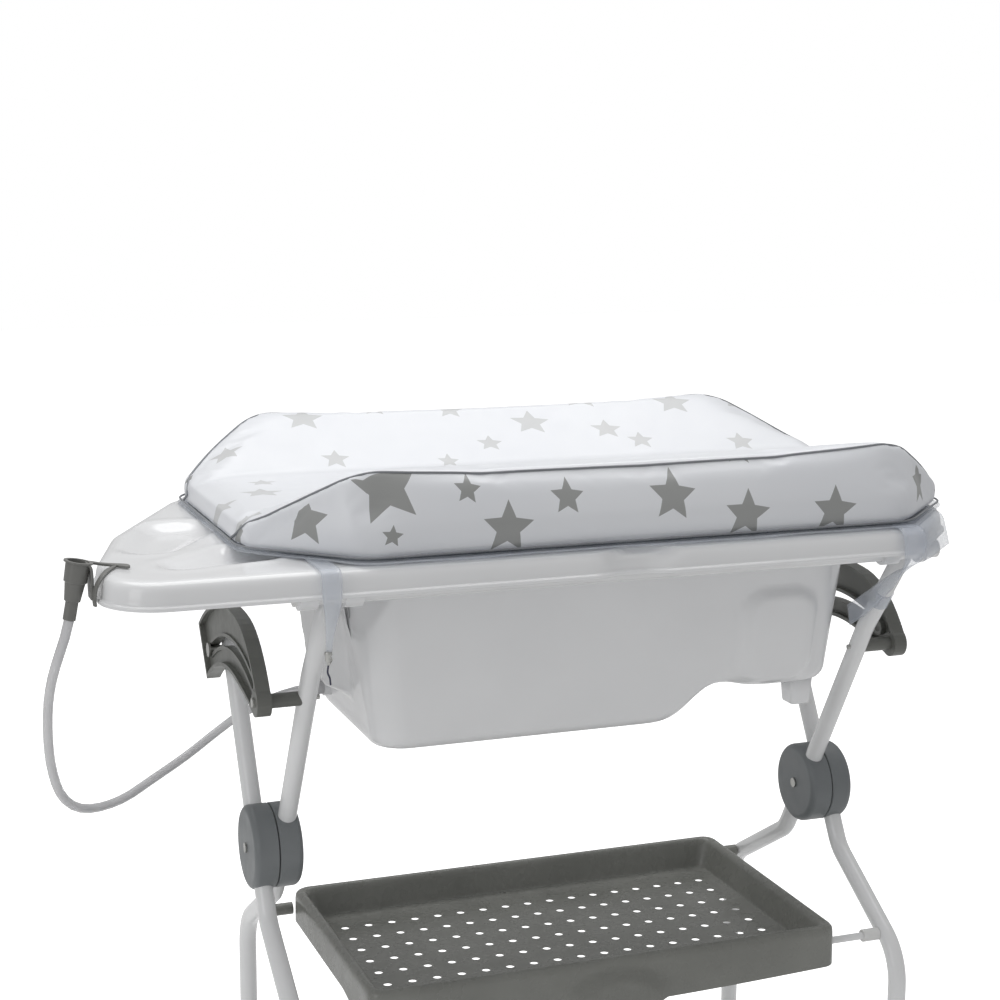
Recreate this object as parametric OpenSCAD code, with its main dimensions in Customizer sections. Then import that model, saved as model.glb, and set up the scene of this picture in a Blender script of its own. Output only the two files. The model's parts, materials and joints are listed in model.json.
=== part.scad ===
// Baby bath and changing mat on a folding X-frame stand with a storage tray.
// X runs along the length (the narrow drain end is at -X), Y from front to
// back, Z up from the floor.

/* [Stand] */
// Outer diameter of the frame tubes
tube_d = 20; // [16:1:24]
// Wall thickness of the frame tubes
tube_wall = 1.2; // [1:0.1:2]
// Half distance between the two side tubes of frame A
frame_a_x = 317; // [312:1:320]
// Height of the pivot that joins the two frames
pivot_z = 547; // [540:1:550]
// Height of the bars that carry the bath
top_z = 866; // [864:1:867]
// Half distance between front and rear top bars
top_y = 202; // [200:1:204]
// Half distance between front and rear legs
leg_y = 178; // [176:1:180]
// Height of the foot bars' centre line
foot_z = 14; // [13:1:15]
// Diameter of the round hubs
hub_d = 91; // [86:1:94]
// Radius of the slot in the arc guides, measured from the pivot
slot_r = 222; // [220:1:224]

/* [Bath] */
// Length from the stand's centre to the drain end of the bath
nose_x = 532; // [525:1:535]
// Length from the stand's centre to the square end of the bath
tail_x = 400; // [398:1:402]
// Half width of the bath's rim
rim_y = 262; // [260:1:263]
// Height of the rim's top face
rim_z = 900; // [899:1:901]
// Height of the rim's lower lip
lip_z = 874; // [873:1:876]
// Wall thickness of the bath
tub_wall = 3.5; // [3:0.1:4]
// Height of the deep end's underside
deep_z = 674; // [670:1:676]
// Height of the shallow end's underside
shallow_z = 705; // [700:1:708]

/* [Mat] */
// Half length of the changing mat
mat_x = 393; // [388:1:395]
// Half width of the changing mat
mat_y = 245; // [240:1:247]
// Size of the mat's cut corners
mat_cut = 98; // [90:1:105]
// Thickness of the mat's base
mat_t = 25; // [22:1:26]
// Height of the side bolsters' tops
bolster_z = 990; // [980:1:1000]

/* [Tray] */
// Half length of the tray
tray_x = 270; // [262:1:272]
// Front edge of the tray, measured from the stand's centre
tray_front = 171; // [169:1:172]
// Rear edge of the tray, measured from the stand's centre
tray_rear = 148; // [146:1:149]
// Height of the tray's rim
tray_z = 438; // [436:1:440]
// Number of drain holes in a row
hole_count = 17; // [9:2:19]
// Number of rows of drain holes
hole_rows = 6; // [4:1:6]

/* [Hose] */
// Diameter of the drain hose
hose_d = 9.5; // [8:0.5:10]

/* [Hidden] */
$fn = 48;

tube_r = tube_d / 2;
bore_r = tube_r - tube_wall;
fit = 0.05;                                  // radial clearance of a running fit
gap = 0.3;                                   // clearance between curved faces that only meet
frame_b_x = frame_a_x + tube_d + 7;          // half distance between the side tubes of frame B
hub_half = tube_r + 3;                       // half thickness of one hub shell
hub_r = hub_d / 2;
clip_reach = nose_x + 37;                    // furthest point of the nose clip
stand_x = (clip_reach - tail_x) / 2;         // stand's centre, so that the origin is mid length

pivot = [0, pivot_z];
tilt = 30.1;                                 // lean of the tubes at the pivot
bend_z = 765;                                // height of the slight bend below the top bar
bend_y = (bend_z - pivot_z) * tan(tilt);
knee_z = 477;                                // bend below the pivot
knee_y = (pivot_z - knee_z) * tan(tilt);
hock_z = 394;                                // bend into the vertical leg
foot_bend = 45;                              // bend radius between leg and foot bar
leg_end_z = foot_z + foot_bend;

pin_y = slot_r * sin(tilt);
pin_z = pivot_z + slot_r * cos(tilt);
guide_x = frame_b_x + 12.5;                  // inboard face of the arc guides
guide_t = 15;
guide_in = slot_r - 26;                      // inner and outer radius of the arc guides
guide_out = slot_r + 41;
guide_tip = 15;                              // radius of the guides' front end, round the screw
guide_rear = 36;                             // rear end of the guides, degrees from vertical
slot_front = 25.9;                           // front end of the slot, degrees from vertical
slot_w = 10.4;
pin_r = 4.5;
bolt_r = 4;
screw_r = 2.5;

tray_pin_y = 149;                            // centre line of the tray's pegs and of its front rod
tray_pin_z = 411.5;
rod_r = 4;
peg_r = 7;

mat_z = rim_z + 4;                           // underside of the mat
pad_z = mat_z + mat_t;
strap_y = rim_y + 3.5;                       // plane of the hanging straps
strap_w = 20;
strap_t = 1.2;
strap_low = 812;
strap_left_x = -341;
strap_right_x = 290;
strap_rear_x = 250;
loop_z = 806;                                // height of the strap loops on the tubes
loop_y = bend_y + (loop_z - bend_z) * (top_y - bend_y) / (top_z - bend_z);

spigot_y = 60;
spigot_z = 700;
spigot_in = -250;
spigot_out = -268;
spigot_r = 10;
nozzle = [-551.5, -190, 912];                // middle of the nozzle's mouth
nozzle_len = 55.5;
nozzle_lean = 10.7;
nozzle_end = nozzle - nozzle_len * [sin(nozzle_lean), 0, cos(nozzle_lean)];
plug_at = [-150, 0];
plug_r = 16;
seat_r = 20;                                 // outer radius of the drain hole's ring

// ---------------------------------------------------------------- helpers

module at_stand() translate([stand_x, 0, 0]) children();

// Solid rod and ring along X between two planes
module rod_x(x0, x1, y, z, r) translate([x0, y, z]) rotate([0, 90, 0]) cylinder(h = x1 - x0, r = r);
module ring_x(x0, x1, y, z, r, hole) difference() {
  rod_x(x0, x1, y, z, r);
  rod_x(x0 - 1, x1 + 1, y, z, hole);
}

// Section of a tube: outer radius r, inner radius hole
module ring_2d(r, hole) difference() {
  circle(r = r);
  if (hole > 0) circle(r = hole);
}

function unit(v) = v / norm(v);

function half_angle(a, b, c) = acos(unit(a - b) * unit(c - b)) / 2;
function tangent_len(a, b, c, bend) = bend / tan(half_angle(a, b, c));
function bend_centre(a, b, c, bend) =
  b + unit(unit(a - b) + unit(c - b)) * bend / sin(half_angle(a, b, c));
function turn(a) = a > 180 ? a - 360 : a < -180 ? a + 360 : a;

// Points of the round bend at corner b, from the side of a to the side of c
function bend_points(a, b, c, bend, steps) =
  let (cut = tangent_len(a, b, c, bend), centre = bend_centre(a, b, c, bend),
       from = b + unit(a - b) * cut - centre, to = b + unit(c - b) * cut - centre,
       a0 = atan2(from[1], from[0]), sweep = turn(atan2(to[1], to[0]) - a0))
  [for (i = [0:steps]) centre + bend * [cos(a0 + sweep * i / steps), sin(a0 + sweep * i / steps)]];

// Round tube swept along the points of a line in space. Each point has a direction and a side vector.
function line_dirs(line) = [for (i = [0:len(line) - 1])
  let (back = line[max(i, 1)] - line[max(i, 1) - 1],
       ahead = line[min(i + 1, len(line) - 1)] - line[min(i, len(line) - 2)])
  unit(unit(back) + unit(ahead))];
function sweep_points(line, dirs, sides, r, n) = [for (i = [0:len(line) - 1], k = [0:n - 1])
  let (u = sides[i], w = cross(dirs[i], u), a = 360 * k / n)
  line[i] + (u * cos(a) + w * sin(a)) * r];
function sweep_faces(rings, n) = concat(
  [[for (k = [0:n - 1]) k]],
  [for (i = [0:rings - 2], k = [0:n - 1])
    let (next = (k + 1) % n, a = i * n, b = a + n)
    [a + next, a + k, b + k, b + next]],
  [[for (k = [n - 1:-1:0]) (rings - 1) * n + k]]);

// Side tube of a frame whose top end is at the front; frame B is its mirror image
tube_sides = 24;
side_corners = [[-top_y, top_z], [-bend_y, bend_z], [knee_y, knee_z], [leg_y, hock_z], [leg_y, leg_end_z]];
function side_line(extra) = let (p = side_corners) concat(
  [p[0]], bend_points(p[0], p[1], p[2], 150, 2), bend_points(p[1], p[2], p[3], 45, 4),
  bend_points(p[2], p[3], p[4], 60, 8), [p[4] - [0, extra]]);

module swept_side(r, extra) {
  line = [for (p = side_line(extra)) [0, p[0], p[1]]];
  polyhedron(points = sweep_points(line, line_dirs(line), [for (p = line) [1, 0, 0]], r, tube_sides),
    faces = sweep_faces(len(line), tube_sides));
}

module side_tube(x, guide_hole_r) difference() {
  translate([x, 0, 0]) swept_side(tube_r, 0);
  translate([x, 0, 0]) swept_side(bore_r, 1);
  rod_x(x - 30, x + 30, -top_y, top_z, tube_r);
  rod_x(x - 30, x + 30, 0, pivot_z, bolt_r + fit);
  rod_x(x - 30, x + 30, -pin_y, pin_z, guide_hole_r);
  rod_x(x - 30, x + 30, tray_pin_y, tray_pin_z, rod_r + fit);
}

// U-shaped bar on the floor that joins the two legs of a frame
module foot_bar(half, y) translate([0, y, 0]) {
  translate([0, 0, foot_z]) rotate([0, 90, 0])
    linear_extrude(2 * (half - foot_bend), center = true) ring_2d(tube_r, bore_r);
  for (s = [-1, 1])
    translate([s * (half - foot_bend), 0, leg_end_z]) rotate([90, 0, 0])
      rotate([0, 0, s > 0 ? -90 : 180]) rotate_extrude(angle = 90)
        translate([foot_bend, 0]) ring_2d(tube_r, bore_r);
}

module feet(x, y) for (s = [-1, 1]) difference() {
  union() {
    rod_x(s * x - 12, s * x + 12, y, foot_z, tube_r + 3);
    translate([s * x - 12, y - 16, 0]) cube([24, 32, 5]);
    translate([s * x - 12, y - 10, 4]) cube([24, 20, 7]);
  }
  rod_x(s * x - 20, s * x + 20, y, foot_z, tube_r);
}

// Half hub round a tube: a drum with its flat face at x and a rounded edge at the far side
module hub_shell(x, side) {
  round_r = 7;
  corner = [for (a = [0:15:90]) [hub_r - round_r + round_r * cos(a), round_r * sin(a)]];
  difference() {
    translate([x, 0, pivot_z]) rotate([0, 90, 0]) rotate_extrude($fn = 96) polygon(concat(
      [[0, 0], [hub_r - 1, 0], [hub_r, 1]],
      [for (p = corner) [p[0], 2 * hub_half - round_r + p[1]]],
      [[0, 2 * hub_half]]));
    translate([x + hub_half, 0, pivot_z]) rotate([-side * tilt, 0, 0])
      cylinder(h = 3 * hub_r, r = tube_r + 0.02, center = true);
    rod_x(x - 1, x + 2 * hub_half + 1, 0, pivot_z, bolt_r + fit);
  }
}

// ------------------------------------------------------------ frame A

module frame_a_tube(x) side_tube(x, screw_r + 0.1);
module frame_a_left_tube() color("whitesmoke") at_stand() frame_a_tube(-frame_a_x);
module frame_a_right_tube() color("whitesmoke") at_stand() frame_a_tube(frame_a_x);

stub_end = 351;                              // outboard end of the top bars, without caps
module frame_a_top_bar() color("whitesmoke") at_stand()
  ring_x(-stub_end, stub_end, -top_y, top_z, tube_r, bore_r);

module bar_cap(x0, x1, y) rod_x(x0, x1, y, top_z, tube_r);
module frame_a_top_caps() color("gainsboro") at_stand() for (s = [-1, 1])
  bar_cap(s > 0 ? stub_end : -stub_end - 2.5, s > 0 ? stub_end + 2.5 : -stub_end, -top_y);

module frame_a_foot_bar() color("whitesmoke") at_stand() foot_bar(frame_a_x, leg_y);
module frame_a_feet() color("dimgray") at_stand() feet(250, leg_y);

module hub_inner_left() color("slategray") at_stand() hub_shell(-frame_a_x - hub_half, -1);
module hub_inner_right() color("slategray") at_stand() mirror([1, 0, 0])
  hub_shell(-frame_a_x - hub_half, -1);

module pivot_bolts() color("silver") at_stand() for (s = [-1, 1]) {
  inner = frame_a_x - hub_half;
  outer = frame_b_x + hub_half;
  rod_x(s > 0 ? inner : -outer, s > 0 ? outer : -inner, 0, pivot_z, bolt_r);
  for (end = [inner - 2, outer])
    rod_x(s > 0 ? end : -end - 2, s > 0 ? end + 2 : -end, 0, pivot_z, 5.5);
}
module pivot_washers() color("gray") at_stand() for (s = [-1, 1]) {
  low = frame_a_x + hub_half;
  high = frame_b_x - hub_half;
  ring_x(s > 0 ? low : -high + fit, s > 0 ? high - fit : -low, 0, pivot_z, 14, bolt_r);
}

// Point at radius r round the pivot, in a YZ plane; the angle is from vertical, rear positive
function polar(r, a) = [r * sin(a), r * cos(a)];
// Half-round end of a ring sector at angle a, towards the rear where side is 1
function end_arc(r0, r1, a, side, steps) =
  [for (p = steps) polar((r0 + r1) / 2, a)
    + (r1 - r0) / 2 * (polar(1, a) * cos(p) + side * [cos(a), -sin(a)] * sin(p))];
// Outline of a ring sector with a round front end, and a round rear end where asked for
arc_steps = 24;
function sector_points(r0, r1, front, rear, round_rear) = concat(
  [for (i = [0:arc_steps]) polar(r1, rear + (front - rear) * i / arc_steps)],
  end_arc(r0, r1, front, -1, [15:15:165]),
  [for (i = [0:arc_steps]) polar(r0, front + (rear - front) * i / arc_steps)],
  round_rear ? end_arc(r0, r1, rear, 1, [165:-15:15]) : []);
module in_plane(x, t) translate([x, 0, pivot_z]) rotate([90, 0, 90]) linear_extrude(t) children();

// Outline of the guide, grown by some distance: full width at the rear, narrow at the screw
function taper(a) = sin(90 * min(1, (a + tilt) / 22));
function guide_outer(a) = slot_r + guide_tip + (guide_out - slot_r - guide_tip) * taper(a);
function guide_inner(a) = slot_r - guide_tip - (slot_r - guide_tip - guide_in) * taper(a);
function guide_points(grow, rear) = concat(
  [for (i = [0:arc_steps]) let (a = rear - (rear + tilt) * i / arc_steps) polar(guide_outer(a) + grow, a)],
  end_arc(slot_r - guide_tip - grow, slot_r + guide_tip + grow, -tilt, -1, [15:15:165]),
  [for (i = [0:arc_steps]) let (a = (rear + tilt) * i / arc_steps - tilt) polar(guide_inner(a) - grow, a)]);
// Guide for the slot pin: recessed web with a rim all round and a ribbed slot
module arc_guide() {
  rim = 4;
  recess = 7;
  slot_start = 3 - slot_front;
  head_room = 4;                             // depth of the groove for the pin's head
  difference() {
    in_plane(guide_x, guide_t) polygon(guide_points(0, guide_rear));
    for (x = [guide_x - 1, guide_x + guide_t + 1 - recess]) in_plane(x, recess) difference() {
      polygon(guide_points(-rim, guide_rear - 1));
      translate(polar(slot_r, -tilt)) circle(r = guide_tip - rim + 1);
      polygon(sector_points(slot_r - 9, slot_r + 9, slot_start, tilt, true));
    }
    in_plane(guide_x - 1, guide_t + 2)
      polygon(sector_points(slot_r - slot_w / 2, slot_r + slot_w / 2, slot_start, tilt, true));
    in_plane(guide_x + guide_t - head_room, head_room + 1)
      polygon(sector_points(slot_r - 10, slot_r + 10, slot_start, tilt, true));
    rod_x(guide_x - 1, guide_x + guide_t + 1, -pin_y, pin_z, screw_r + fit);
  }
}
module arc_guide_right() color("dimgray") at_stand() arc_guide();
module arc_guide_left() color("dimgray") at_stand() mirror([1, 0, 0]) arc_guide();

module guide_spacers() color("dimgray") at_stand() for (s = [-1, 1]) difference() {
  low = frame_a_x;
  rod_x(s > 0 ? low : -guide_x, s > 0 ? guide_x : -low, -pin_y, pin_z, 7.5);
  rod_x(s > 0 ? low - 1 : -guide_x - 1, s > 0 ? guide_x + 1 : 1 - low, -pin_y, pin_z, screw_r + fit);
  translate([s * frame_a_x, -pin_y, pin_z]) rotate([tilt, 0, 0])
    cylinder(h = 60, r = tube_r, center = true);
}
module guide_screws() color("silver") at_stand() for (s = [-1, 1]) {
  low = frame_a_x - tube_r - 3;
  high = guide_x + guide_t;
  rod_x(s > 0 ? low : -high, s > 0 ? high : -low, -pin_y, pin_z, screw_r);
  rod_x(s > 0 ? high : -high - 2.5, s > 0 ? high + 2.5 : -high, -pin_y, pin_z, 5);
}

// Clear loop round the right tube that the mat's right strap snaps on to
lean_top = atan2(top_y - bend_y, top_z - bend_z);
loop_t = 1.2;
module strap_loops() color("lightsteelblue") at_stand()
  translate([frame_a_x, -loop_y, loop_z]) rotate([lean_top, 0, 0])
    linear_extrude(strap_w, center = true) ring_2d(tube_r + loop_t, tube_r);
module strap_snaps() color("silver") at_stand() rod_x(
  frame_a_x - tube_r - loop_t - 2.5, frame_a_x - tube_r - loop_t, -loop_y, loop_z, 5);

// ------------------------------------------------------------ frame B

module frame_b_tube(x) mirror([0, 1, 0]) side_tube(x, pin_r + fit);
module frame_b_left_tube() color("whitesmoke") at_stand() frame_b_tube(-frame_b_x);
module frame_b_right_tube() color("whitesmoke") at_stand() frame_b_tube(frame_b_x);

stub_in = 303;                               // inboard end of frame B's top stubs
module frame_b_top_stubs() color("whitesmoke") at_stand() for (s = [-1, 1])
  ring_x(s > 0 ? stub_in : -stub_end, s > 0 ? stub_end : -stub_in, top_y, top_z, tube_r, bore_r);
module frame_b_top_caps() color("gainsboro") at_stand() for (s = [-1, 1]) {
  bar_cap(s > 0 ? stub_end : -stub_end - 2.5, s > 0 ? stub_end + 2.5 : -stub_end, top_y);
  bar_cap(s > 0 ? stub_in - 2.5 : -stub_in, s > 0 ? stub_in : -stub_in + 2.5, top_y);
}
module frame_b_foot_bar() color("whitesmoke") at_stand() foot_bar(frame_b_x, -leg_y);
module frame_b_feet() color("dimgray") at_stand() feet(285, -leg_y);

module hub_outer_right() color("slategray") at_stand() hub_shell(frame_b_x - hub_half, 1);
module hub_outer_left() color("slategray") at_stand() mirror([1, 0, 0])
  hub_shell(frame_b_x - hub_half, 1);

module slot_pins() color("silver") at_stand() for (s = [-1, 1]) {
  low = frame_b_x - tube_r - 1.5;
  high = guide_x + 11.7;
  rod_x(s > 0 ? low : -high, s > 0 ? high : -low, pin_y, pin_z, pin_r);
  rod_x(s > 0 ? high : -high - 2.5, s > 0 ? high + 2.5 : -high, pin_y, pin_z, 8);
}
module tray_rod() color("gainsboro") at_stand()
  rod_x(-frame_b_x, frame_b_x, -tray_pin_y, tray_pin_z, rod_r);
module rod_sleeves() color("white") at_stand() for (s = [-1, 1])
  ring_x(s > 0 ? 314 : 0.3 - frame_b_x + tube_r, s > 0 ? frame_b_x - tube_r - 0.3 : -314,
    -tray_pin_y, tray_pin_z, peg_r, rod_r);

// ------------------------------------------------------------ bath

// Plan outline of the rim, set in by some distance, with round corners
rim_round = 58;
module rim_outline(inset) offset(delta = -inset) offset(r = rim_round) offset(delta = -rim_round) polygon([
  [tail_x - 100, -rim_y], [tail_x, 110 - rim_y], [tail_x, rim_y - 110], [tail_x - 100, rim_y],
  [-308, rim_y], [-406, 164], [33 - nose_x, -15], [-nose_x, -130], [-nose_x - 11, -rim_y]]);
module rim_slice(inset, z, t) translate([0, 0, z]) linear_extrude(t) rim_outline(inset);
module rim_solid(inset, drop) hull() {
  rim_slice(inset + 1.5, lip_z - 1 + (drop > 0 ? -1 : 1), 12);
  rim_slice(inset + 4, rim_z - 5 - drop, 0.5);
  rim_slice(inset + 11, rim_z - 0.5 - drop, 0.5);
}

// Rounded rectangle from x0 to x1 and half width y, set in by some distance
module slab(x0, x1, y, r, inset, z) translate([0, 0, z]) linear_extrude(0.5) hull()
  for (x = [x0 + r, x1 - r], v = [r - y, y - r]) translate([x, v]) circle(r = r - inset, $fn = 32);

module deep_end(inset, top) hull() {
  slab(-287, 210, 155, 50, inset, top);
  slab(-246, 100, 122, 34, inset, deep_z + 18);
  slab(-236, 88, 108, 28, inset, deep_z + inset);
}
module shallow_end(inset, top) hull() {
  slab(70, 294, 155, 42, inset, top);
  slab(132, 284, 122, 38, inset, shallow_z + 15);
  slab(144, 273, 108, 32, inset, shallow_z + inset);
}
module foot_lobe(inset) hull() {
  slab(-288, -150, 100, 30, inset, rim_z - 30);
  slab(-277, -200, 52, 24, inset, 727 + inset);
}
// Shallow soap scoops in the narrow end
module scoop(points, inset, top) hull() for (p = points) {
  translate([p[0], p[1], top]) cylinder(h = 0.5, r = p[2] - inset, $fn = 32);
  translate([p[0], p[1], rim_z - 16 + inset]) cylinder(h = 0.5, r = p[2] - inset - 14, $fn = 32);
}
rear_scoop = [[-425, -5, 42], [-470, -95, 30]];
front_scoop = [[-392, -150, 42], [-450, -180, 24]];

module basin(inset, top) {
  deep_end(inset, top);
  shallow_end(inset, top);
  foot_lobe(inset);
}
module tub() color("white") at_stand() difference() {
  union() {
    difference() {
      rim_solid(0, 0);
      rim_solid(tub_wall, tub_wall);
    }
    difference() {
      rim_slice(0, lip_z, 3);
      rim_slice(tub_wall + 1.5, lip_z - 1, 5);
    }
    basin(0, rim_z - 1);
    scoop(rear_scoop, 0, rim_z - 1);
    scoop(front_scoop, 0, rim_z - 1);
  }
  basin(tub_wall, rim_z + 1);
  scoop(rear_scoop, tub_wall, rim_z + 1);
  scoop(front_scoop, tub_wall, rim_z + 1);
  translate([plug_at[0], plug_at[1], deep_z - 1]) cylinder(h = 10, r = seat_r + 0.1, $fn = 64);
  rod_x(spigot_in - 10, spigot_in + 25, spigot_y, spigot_z, spigot_r + fit);
  for (y = [-top_y, top_y]) rod_x(-tail_x, tail_x, y, top_z, tube_r + gap);
}

// Bracket cheek that hangs from the rim and turns on the top bar
under_rim = rim_z - tub_wall;
cheek_r = tube_r + 4;
cheek_rear = 38 - top_y;
module cheek(x0, x1, front) difference() {
  union() {
    rod_x(x0, x1, -top_y, top_z, cheek_r);
    translate([x0, front, top_z]) cube([x1 - x0, cheek_rear - front, under_rim - top_z]);
  }
  rod_x(x0 - 1, x1 + 1, -top_y, top_z, tube_r + fit);
}
module hinge_brackets() color("white") at_stand() {
  for (x = [-349, -304, 286]) cheek(x, x + 18, 2 - cheek_r - top_y);
  cheek(330, 337, 3 - top_y);                // clear of the rim's cut corner
}
// Open saddles that sit on frame B's stubs
module rear_saddles() color("white") at_stand() for (s = [-1, 1]) difference() {
  low = 304;
  high = 325;
  translate([s > 0 ? low : -high, top_y - 18, top_z + 3]) cube([high - low, 28, under_rim - top_z - 3]);
  rod_x(s > 0 ? low - 1 : -high - 1, s > 0 ? high + 1 : 1 - low, top_y, top_z, tube_r + gap);
  translate([s > 0 ? low - 1 : -high - 1, top_y - 19, top_z]) cube([high - low + 2, 12, 7]);
}
module rear_strap_tabs() color("lightsteelblue") at_stand() for (s = [-1, 1])
  translate([s * strap_rear_x - strap_w / 2, rim_y, lip_z - 30])
    union() {
      cube([strap_w, strap_t, rim_z - lip_z + 30]);
      translate([strap_w / 2, strap_t, 8]) rotate([-90, 0, 0]) cylinder(h = 2.3, r = 5);
    }

module drain_spigot() color("white") at_stand() union() {
  rod_x(spigot_in - 4, spigot_in + 12, spigot_y, spigot_z, spigot_r);
  rod_x(spigot_out + 2, spigot_in, spigot_y, spigot_z, 6);
}
module hose_sleeve() color("lightgray") at_stand() difference() {
  rod_x(spigot_out, spigot_in - 4, spigot_y, spigot_z, 8);
  rod_x(spigot_out + 2, spigot_in, spigot_y, spigot_z, 6);
}

// Route of the hose from the sleeve to the nozzle, by hand
hose_route = [
  [-268, 60, 700], [-281, 63, 698], [-294, 74, 692], [-307, 91, 682], [-322, 106, 670],
  [-343, 115, 656], [-368, 111, 641], [-402, 92, 626], [-446, 59, 614], [-481, 29, 607],
  [-515, -4, 611], [-540, -32, 624], [-558, -58, 648], [-569, -84, 683], [-575, -112, 722],
  [-577, -136, 760], [-576, -158, 790], [-572, -176, 816], [-566.5, -187, 838], nozzle_end];
hose_steps = 3;
hose_sides = 12;

function at_end(i) = min(max(i, 0), len(hose_route) - 1);
// Point of a smooth curve through the route, t from 0 to 1 between points i and i + 1
function smooth(i, t) =
  let (a = hose_route[at_end(i - 1)], b = hose_route[i],
       c = hose_route[at_end(i + 1)], d = hose_route[at_end(i + 2)])
  0.5 * (2 * b + (c - a) * t + (2 * a - 5 * b + 4 * c - d) * t * t
    + (3 * b - a - 3 * c + d) * t * t * t);
hose_line = [for (i = [0:len(hose_route) - 2], k = [0:hose_steps - 1]) smooth(i, k / hose_steps),
  hose_route[len(hose_route) - 1]];
// Side vector of each ring, carried along the line so that the tube doesn't twist
function side_vector(prev, dir) = unit(prev - (prev * dir) * dir);
function sides_from(dirs, i, prev) = i == len(dirs) ? []
  : let (v = side_vector(prev, dirs[i])) concat([v], sides_from(dirs, i + 1, v));
hose_dirs = concat([[-1, 0, 0]],
  [for (i = [1:len(hose_line) - 2]) unit(hose_line[i + 1] - hose_line[i - 1])],
  [[sin(nozzle_lean), 0, cos(nozzle_lean)]]);
module drain_hose() color("silver") at_stand() polyhedron(
  points = sweep_points(hose_line, hose_dirs, sides_from(hose_dirs, 0, [0, 1, 0]), hose_d / 2, hose_sides),
  faces = sweep_faces(len(hose_line), hose_sides));

// Stepped nozzle on the end of the hose: joint, neck and cup
module hose_nozzle() color("gray") at_stand() translate(nozzle_end) rotate([0, nozzle_lean, 0]) difference() {
  rotate_extrude() polygon([
    [0, 0], [6, 0], [6, 17], [7.5, 18], [9.5, 35], [10.8, 36], [11.5, nozzle_len - 2],
    [13.5, nozzle_len - 1.5], [13.5, nozzle_len], [10, nozzle_len], [9, 42], [0, 42]]);
  translate([0, 0, 30]) cylinder(h = 14, r = 3);
}
// Clip over the rim of the narrow end, with a collar for the nozzle
module nose_clip() color("gray") at_stand() {
  plate = [-nose_x - 10.3, nozzle[1] - 14, lip_z];
  collar_r = 15.1;
  difference() {
    union() {
      translate([collar_r - clip_reach, nozzle[1], 897]) cylinder(h = 5, r = collar_r);
      translate(plate) cube([2.7, 28, 28]);
      translate([plate[0], nozzle[1] + 12, 900.5]) rotate([0, 0, -20]) cube([37, 3.5, 2]);
      translate([plate[0], nozzle[1] - 14, 900.5]) cube([20, 5, 2]);
    }
    translate([collar_r - clip_reach, nozzle[1], 896]) cylinder(h = 8, r = 12.7);
  }
}
// Ring that lines the drain hole and takes the plug
module drain_seat() color("silver") at_stand() translate([plug_at[0], plug_at[1], 0]) difference() {
  union() {
    translate([0, 0, deep_z - 1.5]) cylinder(h = tub_wall + 3, r = seat_r);
    translate([0, 0, deep_z + tub_wall]) cylinder(h = 1.5, r = seat_r + 4);
    translate([0, 0, deep_z - 1.5]) cylinder(h = 1.5, r = seat_r + 4);
  }
  translate([0, 0, deep_z - 3]) cylinder(h = 12, r = plug_r + fit);
}
module drain_plug() color("gray") at_stand() translate([plug_at[0], plug_at[1], deep_z]) union() {
  translate([0, 0, -1]) cylinder(h = tub_wall + 2.5, r = plug_r);
  translate([0, 0, tub_wall + 1.5]) cylinder(h = 3, r = plug_r + 4);
  translate([0, 0, tub_wall + 4.5]) cylinder(h = 6, r = 5);
}

// ------------------------------------------------------------ changing mat

// Octagon of the mat, grown by some distance
module mat_outline(grow) offset(delta = grow) polygon([
  [mat_cut - mat_x, -mat_y], [mat_x - mat_cut, -mat_y], [mat_x, mat_cut - mat_y],
  [mat_x, mat_y - mat_cut], [mat_x - mat_cut, mat_y], [mat_cut - mat_x, mat_y],
  [-mat_x, mat_y - mat_cut], [-mat_x, mat_cut - mat_y]]);
module mat_board() color("burlywood") at_stand()
  translate([0, 0, mat_z]) linear_extrude(3) mat_outline(-4);
module mat_base_pad() color("white") at_stand()
  translate([0, 0, mat_z + 3]) linear_extrude(mat_t - 3) mat_outline(0);
// Wedge along one side; it runs out along the cut corners
module bolster() hull() {
  for (s = [-1, 1]) {
    translate([s * 290, -218, bolster_z - 7]) sphere(r = 7, $fn = 24);
    translate([s * (mat_x - mat_cut), 6 - mat_y, pad_z]) cylinder(h = 6, r = 6, $fn = 24);
    translate([s * (mat_x - 12), 6 + mat_cut - mat_y, pad_z]) cylinder(h = 1, r = 4, $fn = 24);
    translate([s * (mat_x - 20), -128, pad_z]) cylinder(h = 1, r = 4, $fn = 24);
  }
}
module bolster_front() color("lightgray") at_stand() bolster();
module bolster_rear() color("lightgray") at_stand() mirror([0, 1, 0]) bolster();
module mat_flange() color("lightsteelblue") at_stand()
  translate([0, 0, mat_z - 1.5]) linear_extrude(1.5) mat_outline(9);
// Flat strap: from the flange over the rim, then straight down
module mat_strap(x, inner_y) {
  top = mat_z - 1.5;
  translate([x - strap_w / 2, -strap_y, top - strap_t]) cube([strap_w, strap_y - inner_y, strap_t]);
  translate([x - strap_w / 2, -strap_y, strap_low]) cube([strap_w, strap_t, top - strap_low - strap_t]);
}
module mat_strap_left() color("lightsteelblue") at_stand() mat_strap(strap_left_x, 196);
module mat_strap_right() color("lightsteelblue") at_stand() mat_strap(strap_right_x, 240);

// ------------------------------------------------------------ tray

tray_skirt_z = 392;
tray_floor_z = 402;
// Rectangle with round corners, symmetric in X
module round_rect(half_x, front, rear, r) {
  translate([-half_x, r - front]) square([2 * half_x, front + rear - 2 * r]);
  translate([r - half_x, -front]) square([2 * (half_x - r), front + rear]);
  for (x = [r - half_x, half_x - r], y = [r - front, rear - r]) translate([x, y]) circle(r = r, $fn = 32);
}
module tray_slab(half_x, front, rear, r, z, t)
  translate([0, 0, z]) linear_extrude(t) round_rect(half_x, front, rear, r);
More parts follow.
